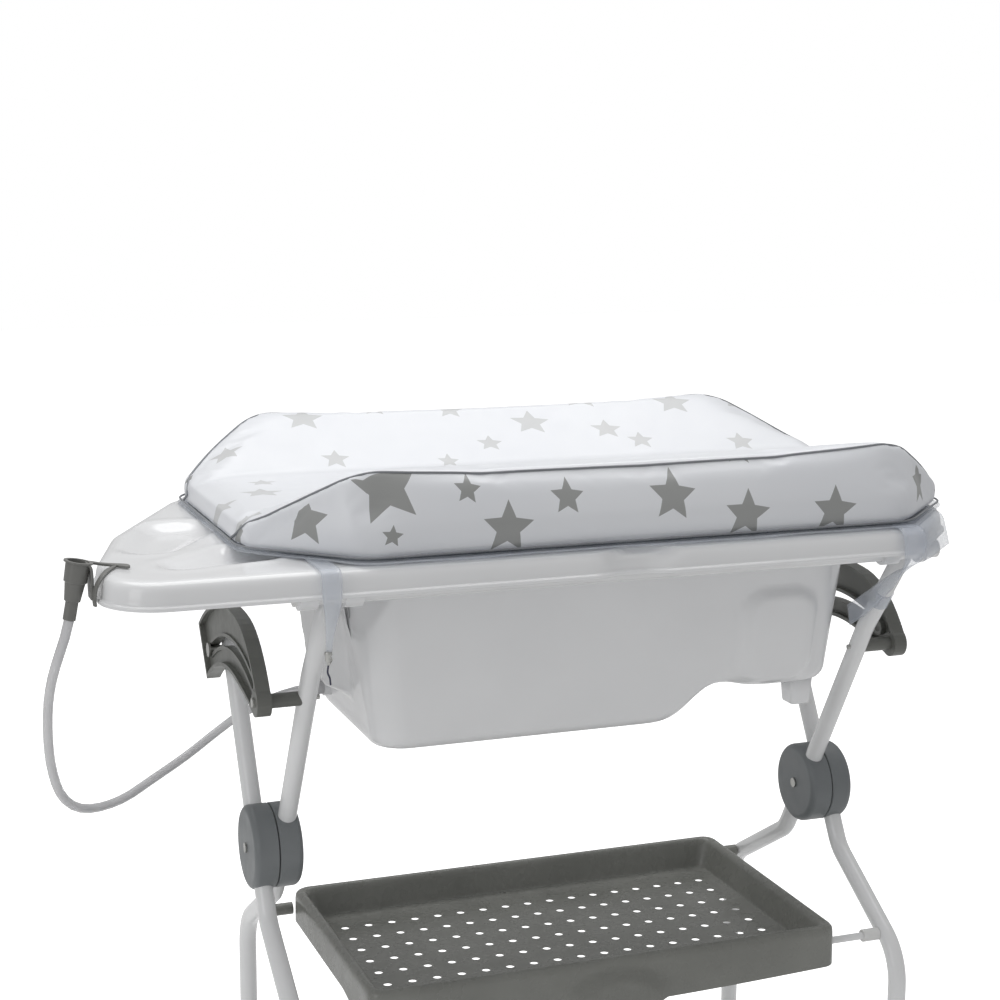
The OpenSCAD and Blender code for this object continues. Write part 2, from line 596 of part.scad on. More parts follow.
// Sloping inside of the tray
module bowl(inset, top) hull() {
  tray_slab(tray_x - 10 - inset, tray_front - 10 - inset, tray_rear - 10 - inset, 10, top, 0.5);
  tray_slab(tray_x - 22 - inset, tray_front - 43 - inset, tray_rear - 20 - inset, 8,
    tray_floor_z + inset, 0.5);
}
module tray() color("dimgray") at_stand() difference() {
  union() {
    tray_slab(tray_x, tray_front, tray_rear, 16, tray_z - 3, 3);
    difference() {
      tray_slab(tray_x, tray_front, tray_rear, 16, tray_skirt_z, tray_z - tray_skirt_z);
      tray_slab(tray_x - 3, tray_front - 3, tray_rear - 3, 13, tray_skirt_z - 1, tray_z - tray_skirt_z);
      translate([-tray_x - 1, -90, tray_skirt_z - 1]) cube([2 * tray_x + 2, 300, 9]);
    }
    bowl(0, tray_z - 2);
    for (x = [-tray_x, tray_x - 16]) rod_x(x, x + 16, tray_pin_y, tray_pin_z, peg_r + 3);
  }
  bowl(3, tray_z + 0.5);
  for (col = [0:hole_count - 1], row = [0:hole_rows - 1])
    translate([(col - (hole_count - 1) / 2) * 28, 86 - row * 33, tray_floor_z - 1]) cylinder(h = 6, r = 5, $fn = 24);
  for (s = [-1, 1]) translate([s * tray_x - 5, -tray_pin_y - 5, tray_skirt_z - 1])
    cube([10, 15, tray_pin_z + 6 - tray_skirt_z]);
}
module tray_pegs() color("dimgray") at_stand() for (s = [-1, 1]) {
  low = tray_x;
  shoulder = frame_a_x - tube_r - 1;
  tip = frame_a_x + 4;
  rod_x(s > 0 ? low : -shoulder, s > 0 ? shoulder : -low, tray_pin_y, tray_pin_z, peg_r);
  rod_x(s > 0 ? shoulder : -tip, s > 0 ? tip : -shoulder, tray_pin_y, tray_pin_z, rod_r);
}

frame_a_left_tube();
frame_a_right_tube();
frame_a_top_bar();
frame_a_top_caps();
frame_a_foot_bar();
frame_a_feet();
hub_inner_left();
hub_inner_right();
pivot_bolts();
pivot_washers();
arc_guide_left();
arc_guide_right();
guide_spacers();
guide_screws();
strap_loops();
strap_snaps();
frame_b_left_tube();
frame_b_right_tube();
frame_b_top_stubs();
frame_b_top_caps();
frame_b_foot_bar();
frame_b_feet();
hub_outer_left();
hub_outer_right();
slot_pins();
tray_rod();
rod_sleeves();
tub();
hinge_brackets();
rear_saddles();
rear_strap_tabs();
drain_spigot();
hose_sleeve();
drain_hose();
hose_nozzle();
nose_clip();
drain_seat();
drain_plug();
mat_board();
mat_base_pad();
bolster_front();
bolster_rear();
mat_flange();
mat_strap_left();
mat_strap_right();
tray();
tray_pegs();
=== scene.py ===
import json
import math

import bmesh
import bpy
import numpy as np
from mathutils import Matrix, Vector
from mathutils.bvhtree import BVHTree


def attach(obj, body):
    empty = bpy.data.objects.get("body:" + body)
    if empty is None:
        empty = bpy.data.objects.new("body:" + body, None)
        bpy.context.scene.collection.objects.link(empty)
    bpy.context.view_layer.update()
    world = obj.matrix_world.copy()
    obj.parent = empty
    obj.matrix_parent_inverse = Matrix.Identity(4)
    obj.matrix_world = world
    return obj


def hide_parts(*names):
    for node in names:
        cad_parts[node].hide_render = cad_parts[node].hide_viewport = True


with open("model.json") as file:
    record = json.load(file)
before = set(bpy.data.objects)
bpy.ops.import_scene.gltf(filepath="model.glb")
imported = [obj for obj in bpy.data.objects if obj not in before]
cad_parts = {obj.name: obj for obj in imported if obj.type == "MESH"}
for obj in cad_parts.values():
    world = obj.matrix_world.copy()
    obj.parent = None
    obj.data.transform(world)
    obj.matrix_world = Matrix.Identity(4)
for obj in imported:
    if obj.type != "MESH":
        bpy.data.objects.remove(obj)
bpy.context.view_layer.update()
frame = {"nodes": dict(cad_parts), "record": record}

STAND_X = 84.5          # the stand's centre along X, in millimetres of the row frame
NODES = frame["nodes"]
scene = bpy.context.scene


# ---- helpers ----

def place(points):
    """Points in millimetres, with X from the stand's centre, as metres in the row frame."""
    p = np.asarray(points, float).reshape(-1, 3).copy()
    p[:, 0] += STAND_X
    return p / 1000


def smooth01(t):
    """Smooth step from 0 to 1."""
    t = np.clip(t, 0, 1)
    return t * t * (3 - 2 * t)


def linked(name, data):
    """A new object in the scene."""
    obj = bpy.data.objects.new(name, data)
    scene.collection.objects.link(obj)
    return obj


def mesh_piece(name, verts, faces, body, slot, replaces=(), mat=None, merge=0.0):
    """A mesh piece from points in metres; it rides on a body and stands for CAD nodes.
    Its material is the slot's own where none is given."""
    mesh = bpy.data.meshes.new(name)
    mesh.from_pydata([tuple(v) for v in verts], [], [tuple(int(i) for i in f) for f in faces])
    bm = bmesh.new()
    bm.from_mesh(mesh)
    if merge:
        bmesh.ops.remove_doubles(bm, verts=bm.verts, dist=merge)
        bmesh.ops.dissolve_degenerate(bm, dist=merge / 2, edges=bm.edges)
    bmesh.ops.recalc_face_normals(bm, faces=bm.faces)
    bm.to_mesh(mesh)
    bm.free()
    return dress(linked(name, mesh), mat or MATERIALS[slot], body, replaces)


def dress(obj, mat, body, replaces=()):
    """Gives a piece its material, its body and the CAD nodes that it stands for."""
    if obj.type == "MESH":
        obj.data.materials.clear()
        obj.data.materials.append(mat)
        obj.data.polygons.foreach_set("use_smooth", [True] * len(obj.data.polygons))
    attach(obj, body)
    if replaces:
        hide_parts(*replaces)
    return obj


def ring_faces(rings, count):
    """Quads between neighbouring closed rings that have the same number of points."""
    faces = []
    for i in range(rings - 1):
        for k in range(count):
            n = (k + 1) % count
            faces.append((i * count + k, i * count + n, (i + 1) * count + n, (i + 1) * count + k))
    return faces


def capped_faces(rings, count):
    """The same quads, with the first and the last ring closed."""
    first, last = tuple(range(count)), tuple(range((rings - 1) * count, rings * count))
    return ring_faces(rings, count) + [first[::-1], last]


def lofted(name, rings, body, slot, replaces=(), capped=True, merge=0.0):
    """A piece with its skin over closed rings of points in millimetres."""
    faces = (capped_faces if capped else ring_faces)(len(rings), len(rings[0]))
    return mesh_piece(name, place(np.vstack(rings)), faces, body, slot, replaces, merge=merge)


def fillet(points, radii, step=4.0):
    """A path through corner points with round bends; radii are given for the inner corners."""
    pts = [Vector(p) for p in points]
    out = [pts[0]]
    for i in range(1, len(pts) - 1):
        a, b, c, r = pts[i - 1], pts[i], pts[i + 1], radii[i - 1]
        u, v = (a - b).normalized(), (c - b).normalized()
        angle = u.angle(v)
        if r < 0.01 or angle > math.pi - 0.001:
            out.append(b)
            continue
        cut = r / math.tan(angle / 2)
        centre = b + (u + v).normalized() * (r / math.sin(angle / 2))
        start, end = b + u * cut - centre, b + v * cut - centre
        sweep = start.angle(end)
        count = max(3, int(sweep * r / step))
        axis = start.cross(end).normalized()
        for k in range(count + 1):
            out.append(centre + Matrix.Rotation(sweep * k / count, 3, axis) @ start)
    out.append(pts[-1])
    return np.array([list(p) for p in out])


def resample(path, count, closed=False):
    """The same path as a number of evenly spaced points."""
    path = np.asarray(path, float)
    if closed:
        path = np.vstack([path, path[:1]])
    length = np.concatenate([[0], np.cumsum(np.linalg.norm(np.diff(path, axis=0), axis=1))])
    at = np.linspace(0, length[-1], count + 1)[:-1] if closed else np.linspace(0, length[-1], count)
    return np.stack([np.interp(at, length, path[:, i]) for i in range(path.shape[1])], axis=1)


def sweep(path, radius, sides, closed):
    """Round tube along a path: vertices and faces. radius is a number or one per point."""
    path = np.asarray(path, float)
    n = len(path)
    radius = np.broadcast_to(np.asarray(radius, float), (n,))
    if closed:
        tangent = np.roll(path, -1, 0) - np.roll(path, 1, 0)
    else:
        tangent = np.gradient(path, axis=0)
    tangent /= np.linalg.norm(tangent, axis=1)[:, None]
    side = np.cross(tangent[0], [0.0, 0.0, 1.0])
    if np.linalg.norm(side) < 0.2:
        side = np.cross(tangent[0], [1.0, 0.0, 0.0])
    verts = []
    angles = np.linspace(0, 2 * math.pi, sides, endpoint=False)
    for i in range(n):
        side = side - tangent[i] * side.dot(tangent[i])
        side /= np.linalg.norm(side)
        other = np.cross(tangent[i], side)
        turn = np.cos(angles)[:, None] * side + np.sin(angles)[:, None] * other
        verts.append(path[i] + radius[i] * turn)
    verts = np.vstack(verts)
    if not closed:
        return verts, capped_faces(n, sides)
    return verts, ring_faces(n, sides) + [
        ((n - 1) * sides + k, (n - 1) * sides + (k + 1) % sides, (k + 1) % sides, k) for k in range(sides)]


def tube(name, path, radius, sides, body, slot, replaces=(), mat=None, closed=False):
    """A round piece along a path in millimetres."""
    verts, faces = sweep(path, radius, sides, closed)
    mesh_piece(name, place(verts), faces, body, slot, replaces, mat)


# ---- materials ----

def new_node(tree, kind, **values):
    node = tree.nodes.new(kind)
    for key, value in values.items():
        setattr(node, key, value)
    return node


def maths_in(tree):
    """A function that adds a math node to the tree; its inputs are numbers or sockets."""
    def maths(operation, a, b=None):
        node = new_node(tree, "ShaderNodeMath", operation=operation)
        for socket, value in zip(node.inputs, (a, b)):
            if isinstance(value, (int, float)):
                socket.default_value = value
            elif value is not None:
                tree.links.new(value, socket)
        return node.outputs[0]
    return maths


def noise(tree, coords, scale, detail=3.0):
    node = new_node(tree, "ShaderNodeTexNoise")
    node.inputs["Scale"].default_value = scale
    node.inputs["Detail"].default_value = detail
    tree.links.new(coords, node.inputs["Vector"])
    return node.outputs["Fac"]


def remap(tree, value, low, high, out_low, out_high):
    """A value between low and high, moved to between out_low and out_high and kept there."""
    node = new_node(tree, "ShaderNodeMapRange")
    for name, number in (("From Min", low), ("From Max", high), ("To Min", out_low), ("To Max", out_high)):
        node.inputs[name].default_value = number
    tree.links.new(value, node.inputs["Value"])
    return node.outputs["Result"]


def mix_colour(tree, factor, a, b):
    """A mix of two colours, each a tuple or a socket."""
    node = new_node(tree, "ShaderNodeMix", data_type="RGBA")
    tree.links.new(factor, node.inputs["Factor"])
    for socket, value in ((node.inputs[6], a), (node.inputs[7], b)):
        if isinstance(value, tuple):
            socket.default_value = (*value, 1.0)
        else:
            tree.links.new(value, socket)
    return node.outputs[2]


def bump(tree, height, strength, distance, normal=None):
    node = new_node(tree, "ShaderNodeBump")
    node.inputs["Strength"].default_value = strength
    node.inputs["Distance"].default_value = distance
    tree.links.new(height, node.inputs["Height"])
    if normal is not None:
        tree.links.new(normal, node.inputs["Normal"])
    return node.outputs["Normal"]


def plain(name, light, dark, rough, grain=900.0, grain_depth=0.00004, wave=14.0, wave_depth=0.0,
          metallic=0.0, **sockets):
    """A moulded, painted or metal finish: soft tone variation, fine grain and uneven gloss."""
    mat = bpy.data.materials.new(name)
    mat.use_nodes = True
    tree = mat.node_tree
    shader = tree.nodes["Principled BSDF"]
    coords = new_node(tree, "ShaderNodeTexCoord").outputs["Object"]
    cloud = noise(tree, coords, 9.0, 4.0)
    tree.links.new(mix_colour(tree, remap(tree, cloud, 0.35, 0.65, 0.0, 1.0), dark, light),
                   shader.inputs["Base Color"])
    gloss = noise(tree, coords, 55.0, 3.0)
    tree.links.new(remap(tree, gloss, 0.3, 0.7, rough[0], rough[1]), shader.inputs["Roughness"])
    normal = bump(tree, noise(tree, coords, grain, 2.0), 0.5, grain_depth)
    if wave_depth:
        normal = bump(tree, noise(tree, coords, wave, 2.0), 0.5, wave_depth, normal)
    tree.links.new(normal, shader.inputs["Normal"])
    shader.inputs["Metallic"].default_value = metallic
    for key, value in sockets.items():
        shader.inputs[key.replace("_", " ")].default_value = value
    return mat


MATERIALS = {
    "white_tube": plain("white_paint", (0.86, 0.865, 0.87), (0.82, 0.825, 0.83), (0.16, 0.26),
                        grain=420.0, grain_depth=0.00003, Coat_Weight=0.4, Coat_Roughness=0.08),
    "white_cap": plain("white_cap_plastic", (0.80, 0.80, 0.79), (0.74, 0.74, 0.73), (0.3, 0.45)),
    "rubber": plain("dark_rubber", (0.045, 0.045, 0.047), (0.03, 0.03, 0.031), (0.6, 0.8),
                    grain_depth=0.0001),
    "hub_grey": plain("slate_plastic", (0.20, 0.213, 0.22), (0.178, 0.191, 0.198), (0.34, 0.46),
                      grain=1600.0, grain_depth=0.00005),
    "guide_grey": plain("guide_plastic", (0.165, 0.168, 0.155), (0.135, 0.138, 0.126), (0.30, 0.44),
                        grain=1600.0, grain_depth=0.00005),
    "steel": plain("zinc_steel", (0.62, 0.62, 0.60), (0.42, 0.42, 0.40), (0.22, 0.42), metallic=1.0),
    "tub_white": plain("bath_plastic", (0.85, 0.855, 0.865), (0.825, 0.83, 0.84), (0.13, 0.2),
                       grain=300.0, grain_depth=0.00002, wave=11.0, wave_depth=0.0006,
                       Coat_Weight=0.25, Coat_Roughness=0.06),
    "clear_vinyl": plain("clear_vinyl", (0.74, 0.78, 0.84), (0.66, 0.70, 0.78), (0.08, 0.18),
                         wave=60.0, wave_depth=0.0008, Alpha=0.36),
    "hose_clear": plain("clear_hose", (0.88, 0.88, 0.89), (0.76, 0.76, 0.78), (0.12, 0.22),
                        Transmission_Weight=0.35),
    "sleeve_grey": plain("sleeve_plastic", (0.52, 0.52, 0.53), (0.46, 0.46, 0.47), (0.35, 0.5)),
    "nozzle_grey": plain("nozzle_plastic", (0.21, 0.21, 0.20), (0.175, 0.175, 0.165), (0.3, 0.45),
                         grain=1600.0, grain_depth=0.00005),
    "board": plain("hardboard", (0.42, 0.30, 0.18), (0.30, 0.20, 0.11), (0.6, 0.8),
                   grain=300.0, grain_depth=0.0002),
    "tray_grey": plain("tray_plastic", (0.235, 0.238, 0.22), (0.20, 0.203, 0.187), (0.22, 0.34),
                       grain=1400.0, grain_depth=0.00006),
}
MATERIALS["piping"] = plain("piping_plastic", (0.26, 0.27, 0.29), (0.20, 0.21, 0.225), (0.3, 0.45))
MATERIALS["thread"] = plain("dark_thread", (0.05, 0.05, 0.09), (0.03, 0.03, 0.06), (0.6, 0.8))


# ---- camera and lights ----

CAMERA_AT = Vector((-0.7278, -2.0063, 1.2922))
YAW, PITCH, ROLL = 0.3549, 0.1775, 0.0041      # radians: to the right, down and clockwise
SENSOR, LENS = 36, 71.9                        # millimetres
SOFT_LIGHT = 0.54       # strength of the light from all round; the camera itself sees pure white
FLOOR_GLOW = 0.75       # keeps the floor white to the camera and lights nothing
KEY_WATTS, FILL_WATTS = 58, 15
forward = Vector((math.sin(YAW) * math.cos(PITCH), math.cos(YAW) * math.cos(PITCH), -math.sin(PITCH)))
right = Vector((math.cos(YAW), -math.sin(YAW), 0))
up = right.cross(forward)
cam_x = right * math.cos(ROLL) + up * math.sin(ROLL)
cam_y = up * math.cos(ROLL) - right * math.sin(ROLL)
camera = linked("camera", bpy.data.cameras.new("camera"))
camera.matrix_world = Matrix((cam_x, cam_y, -forward)).transposed().to_4x4()
camera.matrix_world.translation = CAMERA_AT
camera.data.sensor_width = SENSOR
camera.data.lens = LENS
camera.data.clip_end = 60
scene.camera = camera

scene.view_settings.view_transform = "Standard"
scene.view_settings.look = "None"

world = bpy.data.worlds.new("studio")
world.use_nodes = True
tree = world.node_tree
seen_white = tree.nodes["Background"]
seen_white.inputs["Color"].default_value = (1.0, 1.0, 1.0, 1.0)
seen_white.inputs["Strength"].default_value = 1.0
path_info = new_node(tree, "ShaderNodeLightPath")
soft = new_node(tree, "ShaderNodeBackground")
soft.inputs["Strength"].default_value = SOFT_LIGHT
mix = new_node(tree, "ShaderNodeMixShader")
tree.links.new(path_info.outputs["Is Camera Ray"], mix.inputs["Fac"])
tree.links.new(soft.outputs[0], mix.inputs[1])
tree.links.new(seen_white.outputs[0], mix.inputs[2])
tree.links.new(mix.outputs[0], tree.nodes["World Output"].inputs["Surface"])
scene.world = world


def area_light(name, at, target, size, watts):
    """A rectangular lamp that looks at a target."""
    light = bpy.data.lights.new(name, "AREA")
    light.shape = "RECTANGLE"
    light.size, light.size_y = size
    light.energy = watts
    obj = linked(name, light)
    obj.location = at
    obj.rotation_euler = (Vector(target) - Vector(at)).to_track_quat("-Z", "Y").to_euler()


area_light("key", (0.1, 0.7, 3.4), (0.05, 0.0, 0.8), (3.2, 2.4), KEY_WATTS)
area_light("fill", (-3.0, -1.7, 1.9), (0.0, 0.0, 0.75), (1.4, 2.2), FILL_WATTS)

floor_mesh = bpy.data.meshes.new("floor")
floor_mesh.from_pydata([(-9, -7, 0), (9, -7, 0), (9, 12, 0), (-9, 12, 0)], [], [(0, 1, 2, 3)])
floor = linked("floor", floor_mesh)
floor_mat = plain("floor_paper", (0.93, 0.93, 0.93), (0.92, 0.92, 0.92), (0.7, 0.8))
tree = floor_mat.node_tree
shader = tree.nodes["Principled BSDF"]
shader.inputs["Emission Color"].default_value = (1, 1, 1, 1)
seen = new_node(tree, "ShaderNodeLightPath").outputs["Is Camera Ray"]
tree.links.new(remap(tree, seen, 0.0, 1.0, 0.0, FLOOR_GLOW), shader.inputs["Emission Strength"])
floor_mesh.materials.append(floor_mat)


# ---- the hose ----

HOSE_D = 9.5
HOSE_STEPS = 3          # points of the declared length for each point of the route, as in part.scad
HOSE_POINTS = 38        # points of the drawn line
HOSE_ROUTE = [
    (-268, 60, 700), (-281, 63, 698), (-294, 74, 692), (-307, 91, 682), (-322, 106, 670),
    (-343, 115, 656), (-368, 111, 641), (-402, 92, 626), (-446, 59, 614), (-481, 29, 607),
    (-515, -4, 611), (-540, -32, 624), (-558, -58, 648), (-569, -84, 683), (-575, -112, 722),
    (-577, -136, 760), (-576, -158, 790), (-572, -176, 816), (-566.5, -187, 838), (-561.8, -190, 857.5)]


def catmull(points, steps):
    """A smooth line through the points, with a number of steps from each to the next."""
    p = np.asarray(points, float)
    p = np.vstack([p[:1], p, p[-1:]])
    out = []
    for i in range(1, len(p) - 2):
        a, b, c, d = p[i - 1], p[i], p[i + 1], p[i + 2]
        for k in range(steps):
            t = k / steps
            out.append(0.5 * (2 * b + (c - a) * t + (2 * a - 5 * b + 4 * c - d) * t ** 2
                              + (3 * b - a - 3 * c + d) * t ** 3))
    out.append(p[-2])
    return np.array(out)


hose_line = place(catmull(HOSE_ROUTE, HOSE_STEPS))
curve = bpy.data.curves.new("hose", "CURVE")
curve.dimensions = "3D"
spline = curve.splines.new("POLY")
fine = resample(place(catmull(HOSE_ROUTE, 12)), HOSE_POINTS)
spline.points.add(len(fine) - 1)
for point, co in zip(spline.points, fine):
    point.co = (*co, 1)
spline.use_smooth = True
curve.bevel_depth = HOSE_D / 2000
curve.bevel_resolution = 6
curve.use_fill_caps = True
curve.materials.append(MATERIALS["hose_clear"])
hose = linked("hose", curve)
dress(hose, MATERIALS["hose_clear"], "tub", ["drain_hose"])


# ---- stand tubes ----

TUBE_R = 10.0
TUBE_BENDS = [150, 45, 60, 45, 45, 60, 45, 150]


def frame_tubing(name, half, side, body, nodes):
    """One bent tube from top to top over the floor; side is -1 where its top is at the front."""
    profile = [(-202, 866), (-126.4, 765), (40.6, 477), (178, 394), (178, 14)]
    corners = [(-half, -side * y, z) for y, z in profile]
    corners += [(half, -side * y, z) for y, z in profile[::-1]]
    tube(name, fillet(corners, TUBE_BENDS, 5.0), TUBE_R, 32, body, "white_tube", nodes)


frame_tubing("frame_a_tubing", 317, -1, "frame_a",
             ["frame_a_left_tube", "frame_a_right_tube", "frame_a_foot_bar"])
frame_tubing("frame_b_tubing", 344, 1, "frame_b",
             ["frame_b_left_tube", "frame_b_right_tube", "frame_b_foot_bar"])


# ---- the bath ----

RIM_POINTS = 384
RIM_Z, WALL, RIM_ROUND = 900.0, 3.5, 58
RIM_CORNERS = [(300, -262), (400, -152), (400, 152), (300, 262), (-308, 262), (-406, 164),
               (-499, -15), (-532, -130), (-543, -262)]


def round_polygon(corners, radius, step=3.0):
    """Closed outline with round corners."""
    n = len(corners)
    middle = (np.array(corners[0]) + np.array(corners[-1])) / 2
    loop = [tuple(middle)] + list(corners) + [tuple(middle)]
    path = fillet([(x, y, 0) for x, y in loop], [radius] * n, step)
    return path[:-1, :2]


outline = resample(round_polygon(RIM_CORNERS, RIM_ROUND), RIM_POINTS, closed=True)
edge = np.roll(outline, -1, 0) - np.roll(outline, 1, 0)
outward = np.stack([edge[:, 1], -edge[:, 0]], axis=1)
outward /= np.linalg.norm(outward, axis=1)[:, None]
if (outward * outline).sum() < 0:
    outward = -outward

# each point of the rim looks at the nearest point of a rectangle in the basin's middle
CORE_X, CORE_Y = 227, 95
core = np.stack([np.clip(outline[:, 0], -CORE_X, CORE_X), np.clip(outline[:, 1], -CORE_Y, CORE_Y)], axis=1)
core_dir = outline - core
core_dir /= np.linalg.norm(core_dir, axis=1)[:, None]
core_u = (core[:, 0] + CORE_X) / (2 * CORE_X)
core_v = (core[:, 1] + CORE_Y) / (2 * CORE_Y)


def basin_ring(x0, x1, y, r, wall=0.0):
    """Round rectangle from x0 to x1, 2y wide, drawn in by the wall, one point for each of the rim's."""
    x0, x1, y, r = x0 + wall, x1 - wall, y - wall, r - wall
    px = x0 + r + core_u * (x1 - x0 - 2 * r) + core_dir[:, 0] * r
    py = r - y + core_v * 2 * (y - r) + core_dir[:, 1] * r
    return np.stack([px, py], axis=1)


BASE_PLAN = (-236, 273, 108, 30)     # least X, most X, half width and corner radius of the basin
FOOT_PLAN = (-246, 284, 122, 36)
TOP_PLAN = (-287, 294, 155, 46)
# height of the floor's outer face along X: the deep end, the step and the shallow end
FLOOR_X = [-400, 60, 78, 92, 106, 120, 134, 147, 160, 178, 200, 400]
FLOOR_Z = [674, 674, 675, 680, 691, 703, 711, 713, 711, 706.5, 705, 705]


def floor_z(x):
    x = np.asarray(x, float)
    total = np.zeros_like(x)
    for shift in (-9, -6, -3, 0, 3, 6, 9):
        total += np.interp(x + shift, FLOOR_X, FLOOR_Z)
    return total / 7


SCOOPS = (((-425, -5), (-468, -93), 46, 32), ((-388, -150), (-452, -180), 44, 26))
SCOOP_DEPTH = 10
GRIP_AT, GRIP_SIZE, GRIP_DEPTH = (-12, -266), (42, 24), 5.0


def capsule(x, y, a, b, ra, rb):
    """Distance to a tapered capsule in plan, negative inside."""
    d = np.array(b, float) - np.array(a, float)
    h = np.clip(((x - a[0]) * d[0] + (y - a[1]) * d[1]) / d.dot(d), 0, 1)
    return np.hypot(x - a[0] - h * d[0], y - a[1] - h * d[1]) - (ra + h * (rb - ra))


def grip_drop(x, y):
    """Depth of the thumb grip that is pressed into the rim's front edge."""
    away = ((x - GRIP_AT[0]) / GRIP_SIZE[0]) ** 2 + ((y - GRIP_AT[1]) / GRIP_SIZE[1]) ** 2
    return GRIP_DEPTH * smooth01((1 - away) / 0.16)


def deck_z(x, y):
    """Height of the rim's top face: scoops in the narrow end and a thumb grip at the front."""
    z = np.full_like(x, RIM_Z)
    for a, b, ra, rb in SCOOPS:
        d = capsule(x, y, a, b, ra, rb)
        raised_edge = 0.8 * np.exp(-((d - 3) / 9) ** 2)
        z = z - SCOOP_DEPTH * smooth01((2 - d) / 30) + raised_edge
    return z - grip_drop(x, y)


def wall_push(x, y, z, wall):
    """The basin's walls with the left lobe, the right pocket and the hollow at the upper left."""
    # lobe at the drain end
    t = np.clip((z - 727) / 143, 0, 1)
    reach = -277 - 11 * t + wall
    half = 44 + 44 * t
    weight = smooth01((half + 10 - np.abs(y)) / 24) * smooth01((z - 714) / 16)
    x = np.where((x < -150) & (x > reach), x + (reach - x) * weight, x)
    # pocket on the front wall
    dx = np.abs(x - 204) - 16
    dz = np.abs(z - 764) - 26
    away = np.hypot(np.maximum(dx, 0), np.maximum(dz, 0)) + np.minimum(np.maximum(dx, dz), 0) - 30
    y = np.where(y < -100, y - 8.0 * smooth01(-away / 13 + 0.2), y)
    # hollow in the front wall's upper left corner
    side = ((-238 - x) * 58 - (843 - z) * 30) / 65.3
    low_front = (y < -100) & (x < -200)
    y = np.where(low_front, y + 26 * smooth01(side / 18) * smooth01((893 - z) / 20), y)
    return x, y


def tub_rings(inner):
    """Rings from the basin's floor to its top edge, for the inner or the outer face."""
    w = WALL if inner else 0.0
    rings = []
    base = basin_ring(*BASE_PLAN, w)
    # the floor's two halves meet on shared points, evenly spaced, so the seam in the middle is closed
    left, right_end, pitch = -120, 150, 9
    spine_x = left + pitch * np.round((np.clip(base[:, 0], left, right_end) - left) / pitch)
    spine = np.stack([spine_x, np.zeros(RIM_POINTS)], axis=1)
    floor_rings = 12
    for t in np.linspace(0, 1, floor_rings):
        p = spine + (base - spine) * t
        rings.append(np.column_stack([p, floor_z(p[:, 0]) + w]))
    foot = basin_ring(*FOOT_PLAN, w)
    for a in np.radians([75, 60, 45, 30, 15, 0]):
        p = foot + (base - foot) * (1 - math.cos(a))
        z = floor_z(p[:, 0]) + w + 18 * (1 - math.sin(a))
        rings.append(np.column_stack([p, z]))
    top = basin_ring(*TOP_PLAN, w)
    low = rings[-1][:, 2]
    for t in np.linspace(0, 1, 40)[1:]:
        p = foot + (top - foot) * t
        rings.append(np.column_stack([p, low + (891 - low) * t]))
    for i in range(floor_rings, len(rings)):
        x, y = wall_push(rings[i][:, 0], rings[i][:, 1], rings[i][:, 2], w)
        rings[i] = np.column_stack([x, y, rings[i][:, 2]])
    return rings


def grip_dent(x):
    """How far the skirt turns in under the thumb grip."""
    return 8.0 * smooth01(1.3 - np.abs(x + 22) / 33)


def rim_ring(inset, z, dent):
    """One ring of the rim's edge, dent is its share of the grip's turn in."""
    p = outline - outward * inset
    push = grip_dent(p[:, 0]) * dent * (outline[:, 1] < -250)
    low = z - grip_drop(p[:, 0], p[:, 1]) * smooth01((z - 880) / 14)
    return np.column_stack([p[:, 0], p[:, 1] + push, low])


# section of the rim's edge from the deck round the lip to the underside: inset, height, dent
RIM_SECTION = [
    (16, 899.8, 0), (13.2, 899.2, 0.1), (10.6, 898.2, 0.3), (8.4, 896.5, 0.6), (6.6, 894.2, 0.9),
    (5.4, 891.2, 1), (4.6, 887.5, 1), (4.1, 883.5, 1), (3.8, 880.4, 1), (3.4, 879.0, 1), (2.2, 878.3, 1),
    (0.7, 877.8, 1), (0.1, 876.6, 1), (0.1, 875.0, 1), (0.8, 874.1, 1), (2.4, 874.0, 1), (4.4, 874.4, 1),
    (6.0, 875.6, 1), (7.0, 879.0, 1), (7.6, 884.0, 1), (9.0, 889.0, 1), (12.0, 893.0, 0.5),
    (18, 895.8, 0)]


def build_tub():
    """The bath as one closed skin: inside, deck, rim, underside and outside."""
    inside = tub_rings(True)
    top_edge = basin_ring(*TOP_PLAN, WALL)
    for grow, z in ((0.6, 894.5), (2.2, 897.5), (5.0, 899.4), (8.5, 900)):
        p = top_edge + core_dir * grow
        inside.append(np.column_stack([p, np.full(RIM_POINTS, z)]))
    start = inside[-1][:, :2]
    end = outline - outward * 19
    for t in np.linspace(0, 1, 34)[1:]:
        p = start + (end - start) * t
        inside.append(np.column_stack([p, deck_z(p[:, 0], p[:, 1])]))
    inside += [rim_ring(inset, z, dent) for inset, z, dent in RIM_SECTION]
    start = outline - outward * 18
    end = basin_ring(*TOP_PLAN) + core_dir * 5
    for t in np.linspace(0, 1, 28)[1:]:
        p = start + (end - start) * t
        z = np.minimum(deck_z(p[:, 0], p[:, 1]), RIM_Z) - WALL - 0.5
        inside.append(np.column_stack([p, z]))
    outside = tub_rings(False)
    bath = lofted("bath", inside + outside[::-1], "tub", "tub_white", ["tub"], False, 0.0002)
    cut_drain(bath.data)


# the drain's place in plan, its radius and a height between the floor and all else, in metres
DRAIN = Vector(((-150 + STAND_X) / 1000, 0.0))
DRAIN_R = 0.0205
FLOOR_BELOW = 0.69


